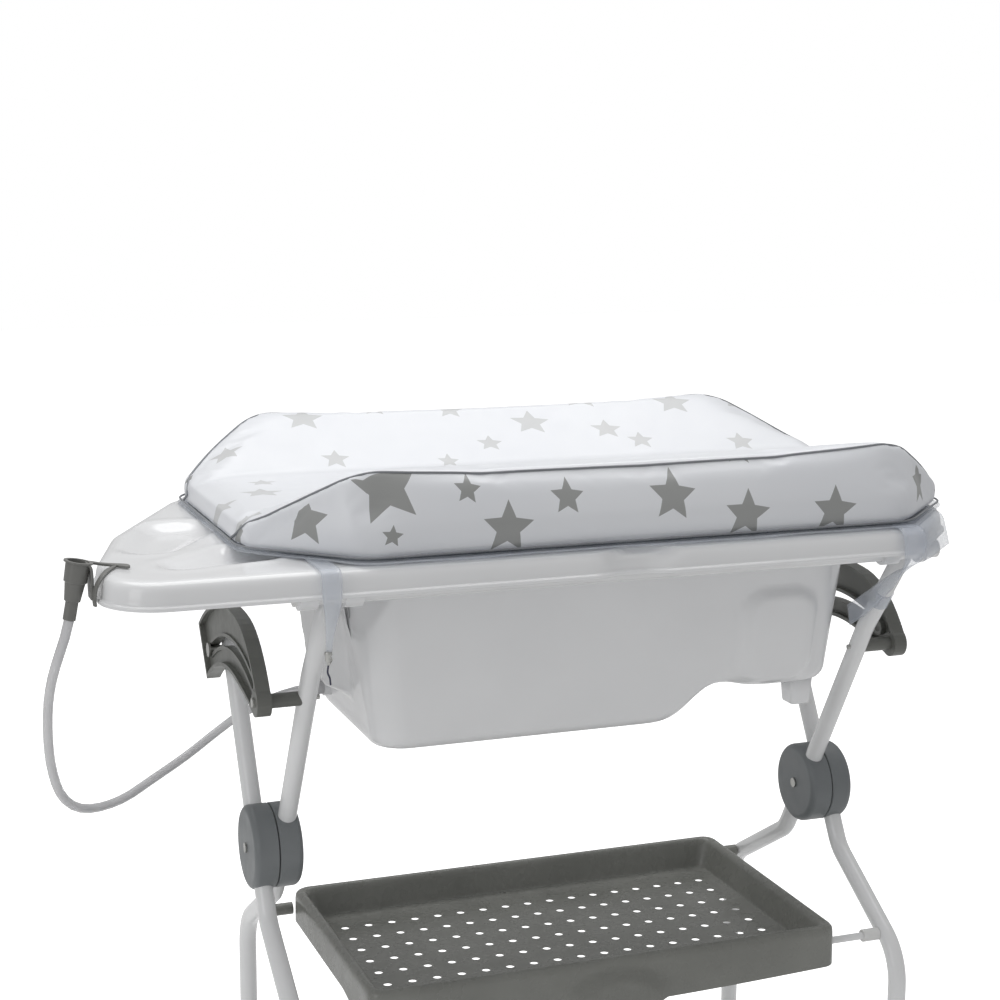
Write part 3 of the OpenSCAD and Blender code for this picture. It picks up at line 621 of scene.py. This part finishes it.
def cut_drain(mesh):
    """A round hole through the floor under the drain's ring, with its wall closed."""
    bm = bmesh.new()
    bm.from_mesh(mesh)
    low = [f for f in bm.faces if f.calc_center_median().z < FLOOR_BELOW
           and (f.calc_center_median().xy - DRAIN).length < DRAIN_R]
    bmesh.ops.delete(bm, geom=low, context="FACES")
    border = [e for e in bm.edges if len(e.link_faces) == 1 and e.verts[0].co.z < FLOOR_BELOW]
    for v in {v for e in border for v in e.verts}:
        away = (v.co.xy - DRAIN)
        if away.length > 1e-6:
            v.co.xy = DRAIN + away.normalized() * DRAIN_R
    bmesh.ops.bridge_loops(bm, edges=border)
    bmesh.ops.recalc_face_normals(bm, faces=bm.faces)
    bm.to_mesh(mesh)
    bm.free()


build_tub()


def moulded_foot():
    """Small tapered foot with round edges under the shallow end."""
    rings = []
    (at_x, at_y), count = (249, -96), 32
    for half, z in ((0.5, 677.0), (9.5, 677.0), (11.6, 678.2), (12.2, 680.5), (12.8, 690.0),
                    (14.0, 709.0)):
        r = min(half, 3.5)
        corners = [(half, -half), (half, half), (-half, half), (-half, -half)]
        ring = resample(round_polygon(corners, r * 0.98, 1.0), count, closed=True)
        rings.append(np.column_stack([ring[:, 0] + at_x, ring[:, 1] + at_y, np.full(count, z)]))
    lofted("bath_foot", rings, "tub", "tub_white")


moulded_foot()


# ---- the changing mat ----

MAT_X, MAT_Y, MAT_CUT = 393.0, 245.0, 98.0


def octagon(grow=0.0):
    """The mat's plan with cut corners, grown by an even margin."""
    c = MAT_CUT - 0.586 * grow          # a cut corner's legs shorten by 2 - sqrt 2 times the margin
    x, y = MAT_X + grow, MAT_Y + grow
    return [(c - x, -y), (x - c, -y), (x, c - y), (x, y - c),
            (x - c, y), (c - x, y), (-x, y - c), (-x, c - y)]


def hull(points):
    """The convex hull of some points, as a mesh."""
    bm = bmesh.new()
    for p in points:
        bm.verts.new(p)
    bmesh.ops.convex_hull(bm, input=bm.verts)
    bmesh.ops.delete(bm, geom=[v for v in bm.verts if not v.link_faces], context="VERTS")
    mesh = bpy.data.meshes.new("hull")
    bm.to_mesh(mesh)
    bm.free()
    return mesh


def ball(x, y, z, r, steps):
    """Points of a small sphere, which rounds a hull's corner."""
    return [(x + r * math.cos(a) * math.cos(b), y + r * math.sin(a) * math.cos(b), z + r * math.sin(b))
            for a in np.linspace(0, 2 * math.pi, 12, endpoint=False)
            for b in np.linspace(-math.pi / 2, math.pi / 2, steps)]


def mat_solids():
    """The base pad and the two side bolsters as plain closed shapes, a little small."""
    plan = round_polygon(octagon(-3), 40, 8)
    solids = [hull(place([(x, y, z) for z in (904.2, 926) for x, y in plan]))]
    ridge = fillet([(231, 216, 983), (291, 216, 983), (352, 180, 946), (384, 150, 925)], [60, 60], 10)
    brim = fillet([(231, 238, 930), (293, 238, 930), (386, 148, 925)], [55], 10)
    foot = fillet([(235, 242, 906), (295, 242, 906), (386, 150, 906)], [55], 10)
    for s in (-1, 1):
        pts = []
        for e in (-1, 1):
            for x, y, z in np.vstack([ridge, brim]):
                pts += ball(e * x, s * y, z, 4, 4)
            pts += [(e * x, s * y, z) for x, y, z in foot]
            pts += [(e * 389, s * 110, 906), (e * 389, s * 110, 926), (e * 374, s * 96, 922),
                    (e * 374, s * 96, 906)]
        solids.append(hull(place(pts)))
    return solids


def join_meshes(name, meshes):
    """One object that holds all the meshes."""
    bm = bmesh.new()
    for mesh in meshes:
        bm.from_mesh(mesh)
    out = bpy.data.meshes.new(name)
    bm.to_mesh(out)
    bm.free()
    return linked(name, out)


def apply_modifiers(obj):
    """Makes the result of the modifiers the object's own mesh."""
    bpy.context.view_layer.update()
    graph = bpy.context.evaluated_depsgraph_get()
    mesh = bpy.data.meshes.new_from_object(obj.evaluated_get(graph))
    obj.modifiers.clear()
    obj.data = mesh


def remesh(obj, voxel, smooth):
    """One even skin over all, softened a number of times."""
    mod = obj.modifiers.new("remesh", "REMESH")
    mod.mode = "VOXEL"
    mod.voxel_size = voxel
    soften = obj.modifiers.new("soften", "SMOOTH")
    soften.factor = 0.5
    soften.iterations = smooth
    apply_modifiers(obj)


def coordinates(mesh):
    co = np.empty(len(mesh.vertices) * 3)
    mesh.vertices.foreach_get("co", co)
    return co.reshape(-1, 3)


def inflate(obj, pressure, cap, pinned, frames=20):
    """Cloth under pressure, with the way that each point may move capped."""
    rest = coordinates(obj.data)
    group = obj.vertex_groups.new(name="pin")
    group.add([int(i) for i in np.nonzero(pinned)[0]], 1.0, "REPLACE")
    cloth = obj.modifiers.new("cloth", "CLOTH")
    s = cloth.settings
    s.quality = 5
    s.mass = 0.3
    s.tension_stiffness = s.compression_stiffness = 25
    s.shear_stiffness = 12
    s.bending_stiffness = 1.5
    s.use_pressure = True
    s.uniform_pressure_force = pressure
    s.effector_weights.gravity = 0
    s.vertex_group_mass = "pin"
    cloth.point_cache.frame_start, cloth.point_cache.frame_end = 1, frames
    for number in range(1, frames + 1):
        scene.frame_set(number)
    apply_modifiers(obj)
    scene.frame_set(1)
    move = coordinates(obj.data) - rest
    length = np.linalg.norm(move, axis=1)
    scale = np.where(length > 1e-9, cap * np.tanh(length / cap) / np.maximum(length, 1e-9), 1)
    obj.data.vertices.foreach_set("co", (rest + move * scale[:, None]).ravel())
    obj.vertex_groups.clear()


MAT_VOXEL, MAT_SOFTEN = 0.005, 7
MAT_PRESSURE, MAT_SWELL = 3.0, 0.0055
MAT_FLAT_BELOW = 0.908          # the pad's underside stays flat on the rim


def build_mat():
    """The sewn cover over pad and bolsters, blown up by a cloth simulation."""
    obj = join_meshes("mat_cover", mat_solids())
    remesh(obj, MAT_VOXEL, MAT_SOFTEN)
    inflate(obj, MAT_PRESSURE, MAT_SWELL, coordinates(obj.data)[:, 2] < MAT_FLAT_BELOW)
    subdivide = obj.modifiers.new("subdivide", "SUBSURF")
    subdivide.levels = subdivide.render_levels = 1
    apply_modifiers(obj)
    return obj


mat_cover = build_mat()
mat_tree = BVHTree.FromObject(mat_cover, bpy.context.evaluated_depsgraph_get())


def perimeter(points, corners):
    """Signed distance to a closed outline in plan, positive outside, and the way along it
    from the middle of its front side."""
    corners = np.asarray(corners, float)
    n = len(corners)
    best = np.full(len(points), 1e9)
    along = np.zeros(len(points))
    inside = np.full(len(points), -1e9)
    edge = np.zeros(len(points), int)
    lengths = np.linalg.norm(np.roll(corners, -1, 0) - corners, axis=1)
    starts = np.concatenate([[0], np.cumsum(lengths)])[:-1] - lengths[0] / 2
    total = lengths.sum()
    for i in range(n):
        a, b = corners[i], corners[(i + 1) % n]
        d = (b - a) / lengths[i]
        rel = points - a
        t = np.clip(rel @ d, 0, lengths[i])
        away = np.linalg.norm(rel - t[:, None] * d, axis=1)
        out = rel @ np.array([d[1], -d[0]])
        closer = away < best
        along = np.where(closer, starts[i] + t, along)
        edge = np.where(closer, i, edge)
        best = np.minimum(best, away)
        inside = np.maximum(inside, out)
    along = np.where(along > total / 2, along - total, along)
    # an inset outline is shorter by twice the inset times tan(22.5 degrees) at each corner; the
    # print runs on round the two front corners and starts afresh at the others
    corners_passed = np.zeros(n)
    corners_passed[[1, 2]] = 1
    corners_passed[[-1, -2]] = -1
    along = along - corners_passed[edge] * 0.828 * np.maximum(-inside, 0)
    return np.where(inside > 0, best, inside), along


# plan of the seam where the top panel meets the side panels
SEAM_PLAN = [(-288, -219.5), (288, -219.5), (352, -184), (391, -112), (391, 112), (352, 184),
             (288, 219.5), (-288, 219.5), (-352, 184), (-391, 112), (-391, -112), (-352, -184)]


def paint_mat(obj):
    """Stores where each point lies on the sewn panels, for the print."""
    co = coordinates(obj.data) * 1000
    co[:, 0] -= STAND_X
    outside, _ = perimeter(co[:, :2], SEAM_PLAN)
    _, along = perimeter(co[:, :2], octagon(0))
    # no print is drawn on the few faces where the way along jumps from its end to its start
    joined_up = np.abs(along) < np.abs(along).max() - 6
    for name, values in (("outside", outside / 1000), ("along", along / 1000), ("joined_up", joined_up)):
        attribute = obj.data.attributes.new(name, "FLOAT", "POINT")
        attribute.data.foreach_set("value", values.astype(np.float32))


paint_mat(mat_cover)

# stars on the top: X from the stand's centre, developed Y, radius, turn in degrees
TOP_STARS = [
    (-238, 207, 25, 8), (-337, 157, 20, 8), (-149, 223, 17, 10), (-60, 211, 18, 8), (31, 177, 25, 8),
    (121, 156, 20, 8), (110, 228, 27, 10), (226, 206, 26, 8), (315, 217, 20, 8), (-219, 124, 17, 8),
    (-31, 139, 16, 8), (156, 130, 17, 8), (-318, 61, 17, 8), (-333, 1, 24, 8), (282, 117, 18, 8),
    (-376, -120, 22, 8), (-385, -30, 20, 10), (-240, -20, 22, 8), (-120, 40, 19, 8), (-40, -60, 26, 8),
    (70, 30, 21, 8), (160, -50, 24, 8), (250, 10, 18, 8), (340, -60, 24, 8), (330, 70, 17, 8),
    (-180, -90, 17, 8), (20, -130, 18, 8), (230, -140, 20, 8), (-90, 110, 13, 8), (-290, -150, 20, 8),
    (-60, -190, 20, 8), (100, -200, 16, 8), (300, -190, 15, 8)]
# stars on the sides: distance along the outline, height, radius, turn in degrees
SIDE_STARS = [
    (-357, 938, 26, 3), (-266, 926, 11, 8), (-268, 972, 38, 352), (-188, 965, 14, 8), (-150, 927, 27, 4),
    (-87, 953, 18, 4), (25, 948, 26, 6), (106, 925, 26, 6), (206, 923, 26, 6), (345, 938, 24, 6),
    (108, 989, 18, 6), (-450, 915, 16, 0), (-480, 922, 14, 0), (-520, 912, 18, 0), (-610, 960, 20, 8),
    (430, 915, 16, 0), (500, 922, 18, 0), (600, 930, 24, 8), (700, 955, 18, 4), (800, 940, 26, 8),
    (-700, 940, 26, 4), (-790, 962, 16, 8), (-870, 930, 24, 6), (880, 965, 16, 8),
    (945, 934, 26, 6), (1005, 962, 15, 8), (1070, 932, 25, 8), (1122, 962, 16, 8), (-925, 964, 16, 8),
    (-985, 932, 26, 6), (-1045, 962, 15, 8), (-1105, 934, 24, 8)]


STAR_INNER = 0.47       # a star's inner radius over its outer radius


def star_group():
    """Node group that says whether a point lies in a five-pointed star."""
    group = bpy.data.node_groups.new("star_mask", "ShaderNodeTree")
    for name, kind in (("Point", "NodeSocketVector"), ("Centre", "NodeSocketVector"),
                       ("Radius", "NodeSocketFloat"), ("Turn", "NodeSocketFloat")):
        group.interface.new_socket(name, in_out="INPUT", socket_type=kind)
    group.interface.new_socket("Mask", in_out="OUTPUT", socket_type="NodeSocketFloat")
    ins, outs = group.nodes.new("NodeGroupInput"), group.nodes.new("NodeGroupOutput")
    maths = maths_in(group)
    away = new_node(group, "ShaderNodeVectorMath", operation="SUBTRACT")
    group.links.new(ins.outputs["Point"], away.inputs[0])
    group.links.new(ins.outputs["Centre"], away.inputs[1])
    parts = new_node(group, "ShaderNodeSeparateXYZ")
    group.links.new(away.outputs[0], parts.inputs[0])
    angle = maths("SUBTRACT", maths("ARCTAN2", parts.outputs[0], parts.outputs[1]), ins.outputs["Turn"])
    folded = maths("PINGPONG", maths("ADD", angle, 8 * math.pi), math.pi / 5)
    distance = maths("SQRT", maths("ADD", maths("MULTIPLY", parts.outputs[0], parts.outputs[0]),
                                   maths("MULTIPLY", parts.outputs[1], parts.outputs[1])))
    lean = math.atan2(1 - STAR_INNER * math.cos(math.pi / 5), STAR_INNER * math.sin(math.pi / 5))
    edge_at = maths("MULTIPLY", distance, maths("COSINE", maths("SUBTRACT", folded, lean)))
    mask = maths("LESS_THAN", edge_at, maths("MULTIPLY", ins.outputs["Radius"], math.cos(lean)))
    group.links.new(mask, outs.inputs["Mask"])
    return group


def star_mask(tree, group, point, stars):
    """One where the point lies in any of the stars, which are given in millimetres."""
    scale = 0.001
    total = None
    for x, y, r, turn in stars:
        node = new_node(tree, "ShaderNodeGroup", node_tree=group)
        tree.links.new(point, node.inputs["Point"])
        node.inputs["Centre"].default_value = (x * scale, y * scale, 0)
        node.inputs["Radius"].default_value = r * scale
        node.inputs["Turn"].default_value = math.radians(turn)
        if total is None:
            total = node.outputs["Mask"]
        else:
            most = new_node(tree, "ShaderNodeMath", operation="MAXIMUM")
            tree.links.new(total, most.inputs[0])
            tree.links.new(node.outputs["Mask"], most.inputs[1])
            total = most.outputs[0]
    return total


def mat_material():
    """White vinyl cloth with printed stars, pale on the top; on the sides the same stars are painted
    darker, as painted shade.
    """
    mat = bpy.data.materials.new("mat_print")
    mat.use_nodes = True
    tree = mat.node_tree
    shader = tree.nodes["Principled BSDF"]
    coords = new_node(tree, "ShaderNodeTexCoord").outputs["Object"]
    place_at = new_node(tree, "ShaderNodeSeparateXYZ")
    tree.links.new(coords, place_at.inputs[0])
    maths = maths_in(tree)

    def joined(a, b):
        node = new_node(tree, "ShaderNodeCombineXYZ")
        tree.links.new(a, node.inputs[0])
        tree.links.new(b, node.inputs[1])
        return node.outputs[0]

    def stored(name):
        return new_node(tree, "ShaderNodeAttribute", attribute_name=name).outputs["Fac"]

    x, y, z = place_at.outputs
    x = maths("SUBTRACT", x, STAND_X / 1000)
    slope = maths("MAXIMUM", maths("SUBTRACT", maths("ABSOLUTE", y), 0.122), 0.0)
    developed = maths("ADD", y, maths("MULTIPLY", maths("MULTIPLY", slope, 0.2), maths("SIGN", y)))
    group = star_group()
    top = star_mask(tree, group, joined(x, developed), TOP_STARS)
    side = star_mask(tree, group, joined(stored("along"), z), SIDE_STARS)
    side = maths("MULTIPLY", side, maths("GREATER_THAN", stored("joined_up"), 0.98))
    on_side = maths("GREATER_THAN", stored("outside"), 0.0)
    chosen = maths("ADD", maths("MULTIPLY", side, on_side),
                   maths("MULTIPLY", top, maths("SUBTRACT", 1.0, on_side)))
    cloud = remap(tree, noise(tree, coords, 7.0, 3.0), 0.35, 0.65, 0.0, 1.0)
    white = mix_colour(tree, cloud, (0.79, 0.805, 0.84), (0.815, 0.83, 0.86))
    grey_top = mix_colour(tree, cloud, (0.57, 0.58, 0.585), (0.61, 0.615, 0.62))
    # stars on the sides: the top's grey print darkened, painted shade of the mat's sides
    star_grey_painted_shade = mix_colour(tree, cloud, (0.32, 0.325, 0.32), (0.35, 0.355, 0.35))
    star = mix_colour(tree, on_side, grey_top, star_grey_painted_shade)
    tree.links.new(mix_colour(tree, chosen, white, star), shader.inputs["Base Color"])
    tree.links.new(remap(tree, noise(tree, coords, 60.0, 3.0), 0.3, 0.7, 0.3, 0.42),
                   shader.inputs["Roughness"])
    grain = bump(tree, noise(tree, coords, 1500.0, 2.0), 0.35, 0.00006)
    soft = bump(tree, noise(tree, coords, 16.0, 2.0), 0.5, 0.0016, grain)
    tree.links.new(soft, shader.inputs["Normal"])
    shader.inputs["Coat Weight"].default_value = 0.12
    shader.inputs["Coat Roughness"].default_value = 0.25
    return mat


MATERIALS["mat_cover"] = mat_material()
dress(mat_cover, MATERIALS["mat_cover"], "mat",
      ["mat_base_pad", "bolster_front", "bolster_rear", "mat_board"])


def drop_on_mat(points):
    """Points of the mat's top surface under plan points, in millimetres from the stand's centre."""
    above = 1.05
    out = []
    for x, y in points:
        hit = mat_tree.ray_cast(Vector(((x + STAND_X) / 1000, y / 1000, above)), Vector((0, 0, -1)))[0]
        if hit is not None:
            out.append((hit.x * 1000 - STAND_X, hit.y * 1000, hit.z * 1000))
    return out


SEAM_R, BASE_SEAM_R = 1.3, 1.1


def top_piping(side):
    """Cord in the seam along a bolster's ridge; side is -1 at the front and 1 at the rear."""
    plan = [(-390, -106), (-387, -122), (-381, -141), (-367, -160), (-345, -180), (-318, -199),
            (-300, -210), (-284, -217), (-262, -219.5)]
    plan = plan + [(x, -219.5) for x in range(-220, 221, 20)] + [(-x, y) for x, y in plan[::-1]]
    path = drop_on_mat(resample([(x, -side * y) for x, y in plan], 120))
    foot = [(path[0][0] - 4, path[0][1], 908)]
    end = [(path[-1][0] + 4, path[-1][1], 908)]
    path = resample(foot + path + end, 160)
    for _ in range(3):
        path[1:-1] = (path[:-2] + 2 * path[1:-1] + path[2:]) / 4
    path[:, 2] += 0.4
    name = "front" if side < 0 else "rear"
    tube(f"mat_piping_{name}", path, SEAM_R, 10, "mat", "mat_cover", mat=MATERIALS["piping"])


top_piping(-1)
top_piping(1)
loop = resample(round_polygon(octagon(0.0), 40), 260, closed=True)
loop = np.column_stack([loop, np.full(len(loop), 906.6)])
tube("mat_piping_base", loop, BASE_SEAM_R, 10, "mat", "mat_cover", mat=MATERIALS["piping"], closed=True)


# ---- clear sheet and straps ----

VINYL = 0.9             # thickness of the clear sheet


def build_flange():
    """Thin clear sheet under the mat whose free edge stands out a little and waves."""
    count = 320
    hem = [(-297, -254), (297, -254), (395, -148), (395, 148),
           (297, 254), (-297, 254), (-395, 148), (-395, -148)]
    outer = resample(round_polygon(hem, 40), count, closed=True)
    inner = resample(round_polygon(octagon(-20.0), 10), count, closed=True)
    s = np.linspace(0, 2 * math.pi, count, endpoint=False)
    rings = []
    for t, z in ((0.0, 903.2), (0.5, 903.2), (0.8, 903.1), (1.0, 902.9)):
        p = inner + (outer - inner) * t
        wave = 0.5 * t ** 3 * (np.sin(9 * s + 0.6) + 0.6 * np.sin(23 * s))
        rings.append(np.column_stack([p, z + wave]))
    skin = rings + [r - [0, 0, VINYL] for r in rings[::-1]] + [rings[0]]
    lofted("mat_clear_edge", skin, "mat", "clear_vinyl", ["mat_flange"], False, 0.00005)


build_flange()


def spread(values, at):
    """Values that are evenly spaced from 0 to 1, read off at other places between."""
    return np.interp(at, np.linspace(0, 1, len(values)), values)


def ribbon(name, path, widths, body, slot, replaces=(), thick=1.0, across=(1, 0, 0)):
    """Flat strip along a path; its width lies along one direction, or turns through a few."""
    fine = catmull(path, 6)
    at = np.linspace(0, 1, len(fine))
    wide = spread(widths, at)
    turns = np.atleast_2d(np.asarray(across, float))
    across = np.stack([spread(turns[:, k], at) for k in range(3)], axis=1)
    tangent = np.gradient(fine, axis=0)
    tangent /= np.linalg.norm(tangent, axis=1)[:, None]
    across -= tangent * (across * tangent).sum(axis=1)[:, None]
    across /= np.linalg.norm(across, axis=1)[:, None]
    normal = np.cross(tangent, across)
    columns = 7
    rings = []
    for i, p in enumerate(fine):
        u = np.linspace(-0.5, 0.5, columns)
        top = p + across[i] * (u * wide[i])[:, None] + normal[i] * (thick / 2)
        under = p + across[i] * (u[::-1] * wide[i])[:, None] - normal[i] * (thick / 2)
        rings.append(np.vstack([top, under]))
    lofted(name, rings, body, slot, replaces)


ribbon("mat_strap_front_left",
       [(-332, -196, 902.3), (-332, -240, 902.3), (-332, -258, 901.6), (-332, -264.5, 896),
        (-332, -266, 884), (-332, -266, 868), (-332.5, -263, 852), (-333, -260, 840), (-333, -257, 828),
        (-333, -254, 818)],
       [20, 20, 20, 20, 20, 17, 11, 8, 6, 5], "mat", "clear_vinyl", ["mat_strap_left"])
ribbon("mat_strap_front_right",
       [(288, -240, 902.3), (288, -254, 902.0), (288, -264, 896), (289, -266, 882), (291, -260, 866),
        (294, -238, 850), (297, -208, 833), (299.5, -180, 816), (300.5, -158, 802), (300, -138, 789),
        (299, -120, 778)],
       [26, 26, 26, 26, 25, 24, 24, 24, 24, 24, 24], "mat", "clear_vinyl", ["mat_strap_right"],
       across=[(1, 0, 0), (1, 0, 0), (1, 0, 0), (1, 0.2, 0.2), (0.5, 0.45, 0.7), (0.25, 0.5, 0.82),
               (0.15, 0.5, 0.85), (0.15, 0.5, 0.85)])


# the strip from the mat's base over the rim: inset from the rim's outline, height, how flat it lies
FLAP_SECTION = [(30, 901.6, 1), (16, 901.6, 1), (8, 901.4, 1), (3, 900.2, 0.8), (0, 897.5, 0.5),
                (-1.8, 893, 0.2), (-2.8, 887, 0), (-4.0, 880, 0), (-5.2, 873, 0), (-6.2, 866, 0)]


def corner_flap():
    """Strip of clear vinyl that hangs over the rim's right front corner."""
    near = np.where((outline[:, 0] > 302) & (outline[:, 0] < 376) & (outline[:, 1] < -150))[0]
    near = near[np.argsort(outline[near, 0])]
    count = len(near)
    edge, away = outline[near], outward[near]
    flare = np.linspace(0.6, 1.5, count)
    rings = []
    for inset, z, flat in FLAP_SECTION:
        push = np.where(inset < 0, -inset * flare, -inset)
        top = np.column_stack([edge + away * push[:, None], np.full(count, z)])
        under = top - np.column_stack([away * VINYL * (1 - flat), np.full(count, VINYL * flat)])
        rings.append(np.vstack([top, under[::-1]]))
    lofted("mat_corner_flap", rings, "mat", "clear_vinyl")


corner_flap()

# knot and thread end of the left strap
knot = catmull([(-333, -254.5, 823), (-334, -255.5, 818), (-332.5, -254, 814), (-333.5, -255, 810)], 5)
knot_radii = [3.2, 3.6, 3.9, 3.6, 3.0, 2.6, 2.9, 3.3, 3.6, 3.5, 3.2, 2.6, 2.0, 1.6, 1.2, 0.8]
tube("strap_knot", knot, knot_radii, 10, "mat", "clear_vinyl", mat=MATERIALS["steel"])
thread = catmull([(-333.5, -255, 810), (-334, -254, 803), (-331.5, -252, 797), (-330.5, -251, 790)], 6)
tube("strap_thread", thread, 0.9, 8, "mat", "clear_vinyl", mat=MATERIALS["thread"])

# clip over the rim that holds the nozzle
ribbon("nozzle_clip",
       [(-545, -190, 909), (-542, -190, 907), (-541.2, -190, 899), (-541.2, -190, 888),
        (-541.2, -190, 876)],
       [16, 22, 24, 24, 18], "tub", "nozzle_grey", ["nose_clip"], thick=2.4, across=(0, 1, 0))
ribbon("nozzle_clip_arm",
       [(-546, -178, 908), (-538, -172, 906), (-527, -171, 903.5), (-516, -175, 902.6),
        (-508, -182, 902.6), (-505, -187, 902.2)],
       [5, 4.5, 4, 4, 5.5, 6.5, 3], "tub", "nozzle_grey", thick=2.2, across=(0, 1, 0.1))
ribbon("nozzle_clip_leg",
       [(-516, -178, 902.2), (-524, -188, 901.2), (-532, -199, 897.5), (-538.5, -206, 890),
        (-541, -209, 881), (-540.5, -209, 872.5)],
       [3, 5, 5.5, 5.5, 5.5, 4.5], "tub", "nozzle_grey", thick=1.8, across=(0.35, -1, 0))


# ---- the tray ----

TRAY = {"half": 270.0, "front": -171.0, "rear": 148.0, "floor": 405.0}
TRAY_FLOOR = (248.0, -128.0, 128.0, 10)      # half length, front, rear and corner radius
TRAY_COUNT = 200        # points of each ring
TRAY_WALL = 0.0018
HOLES_X, HOLES_Y, PITCH_X, PITCH_Y = 17, 6, 28, 33
HOLE_REAR, HOLE_R, HOLE_SIDES = 86, 5, 20
# the rolled rim: inset, height and corner radius
TRAY_RIM = [(11.8, 434.6, 12), (10, 436.8, 12), (7.5, 437.8, 12.5), (4.8, 437.6, 13.5),
            (2.4, 436.2, 15), (0.9, 433.8, 15), (0.2, 430.6, 16), (0.0, 427, 16)]


def rect_ring(half, front, rear, r):
    """Round rectangle with the same number of points on each ring."""
    quarter, bend = TRAY_COUNT // 4, 10
    rest = quarter - bend - 1
    out = []
    corners = [(half - r, front + r, -90), (half - r, rear - r, 0), (r - half, rear - r, 90),
               (r - half, front + r, 180)]
    for i, (cx, cy, start) in enumerate(corners):
        nx, ny, nstart = corners[(i + 1) % 4]
        arc = [(cx + r * math.cos(math.radians(start + 90 * k / bend)),
                cy + r * math.sin(math.radians(start + 90 * k / bend))) for k in range(bend + 1)]
        target = (nx + r * math.cos(math.radians(nstart)), ny + r * math.sin(math.radians(nstart)))
        line = [(arc[-1][0] + (target[0] - arc[-1][0]) * (k + 1) / (rest + 1),
                 arc[-1][1] + (target[1] - arc[-1][1]) * (k + 1) / (rest + 1)) for k in range(rest)]
        out += arc + line
    return np.array(out)


def tray_ring(inset, z, r):
    """A level ring inside the tray's outline."""
    ring = rect_ring(TRAY["half"] - inset, TRAY["front"] + inset, TRAY["rear"] - inset, r)
    return np.column_stack([ring, np.full(len(ring), z)])


def tray_skirt(z_front, z_side, inset):
    """Lower edge of the outer wall: deep along the front and deepest in its middle."""
    ring = rect_ring(TRAY["half"] - inset, TRAY["front"] + inset, TRAY["rear"] - inset, 15)
    x, y = ring[:, 0], ring[:, 1]
    depth = smooth01((-60 - y) / 60)
    middle = 7 * np.cos(np.clip(np.abs(x) / 270, 0, 1) * math.pi / 2) * smooth01((-140 - y) / 20)
    z = z_side + (z_front - z_side) * depth - middle
    return np.column_stack([ring, z])


def grip_bulge(points):
    """Arched pull that stands out of the front wall."""
    x, y, z = points.T
    d = np.hypot((x - 4) / 60, (z - 384) / 42)
    out = 9 * smooth01((1 - d) / 0.22) * (y < -164)
    return np.column_stack([x, y - out, z])


def build_tray():
    """The tray as one skin with its holes cut, then given its wall."""
    bottom = np.column_stack([rect_ring(*TRAY_FLOOR), np.full(TRAY_COUNT, TRAY["floor"])])
    top_z = 431.5
    top = tray_ring(13, top_z, 12)
    rings = [bottom]
    for t, drop in ((0.04, 0.2), (0.10, 1.0), (0.18, 3.4)):
        p = bottom + (top - bottom) * t
        p[:, 2] = TRAY["floor"] + drop
        rings.append(p)
    for t in (0.35, 0.55, 0.75, 0.9, 1.0):
        p = bottom + (top - bottom) * t
        p[:, 2] = TRAY["floor"] + 3.4 + (top_z - TRAY["floor"] - 3.4) * (t - 0.18) / 0.82
        rings.append(p)
    rings += [tray_ring(inset, z, r) for inset, z, r in TRAY_RIM]
    skirt_top = rings[-1]
    skirt_low = tray_skirt(392.0, 401.0, 0.0)
    for t in np.linspace(0, 1, 10)[1:]:
        rings.append(skirt_top + (skirt_low - skirt_top) * t)
    for i in range(len(rings) - 10, len(rings)):
        rings[i] = grip_bulge(rings[i])
    bm = bmesh.new()
    grid = [[bm.verts.new(p) for p in place(r)] for r in rings]
    for i in range(len(grid) - 1):
        for k in range(TRAY_COUNT):
            n = (k + 1) % TRAY_COUNT
            bm.faces.new((grid[i][k], grid[i][n], grid[i + 1][n], grid[i + 1][k]))
    edges = [bm.edges.get((grid[0][k], grid[0][(k + 1) % TRAY_COUNT])) for k in range(TRAY_COUNT)]
    angles = np.linspace(0, 2 * math.pi, HOLE_SIDES, endpoint=False)
    for col in range(HOLES_X):
        for row in range(HOLES_Y):
            cx, cy = (col - HOLES_X // 2) * PITCH_X, HOLE_REAR - row * PITCH_Y
            hole = [bm.verts.new(p) for p in place([(cx + HOLE_R * math.cos(a), cy + HOLE_R * math.sin(a),
                                                     TRAY["floor"]) for a in angles])]
            edges += [bm.edges.new((hole[i], hole[(i + 1) % HOLE_SIDES])) for i in range(HOLE_SIDES)]
    bmesh.ops.triangle_fill(bm, use_beauty=True, use_dissolve=False, edges=edges)
    bmesh.ops.recalc_face_normals(bm, faces=bm.faces)
    mesh = bpy.data.meshes.new("tray_body")
    bm.to_mesh(mesh)
    bm.free()
    obj = linked("tray_body", mesh)
    wall = obj.modifiers.new("wall", "SOLIDIFY")
    wall.thickness = TRAY_WALL
    wall.offset = -1.0
    apply_modifiers(obj)
    dress(obj, MATERIALS["tray_grey"], "tray", ["tray"])
    obj.data.set_sharp_from_angle(angle=math.radians(40))


build_tray()


# ---- finish of the CAD nodes ----

for row in frame["record"]["subparts"]:
    node = NODES[row["node"]]
    if node.hide_render:
        continue
    mat = MATERIALS[row["material_slot"]]
    if not node.data.materials:
        node.data.materials.append(mat)
    for i in range(len(node.data.materials)):
        node.data.materials[i] = mat
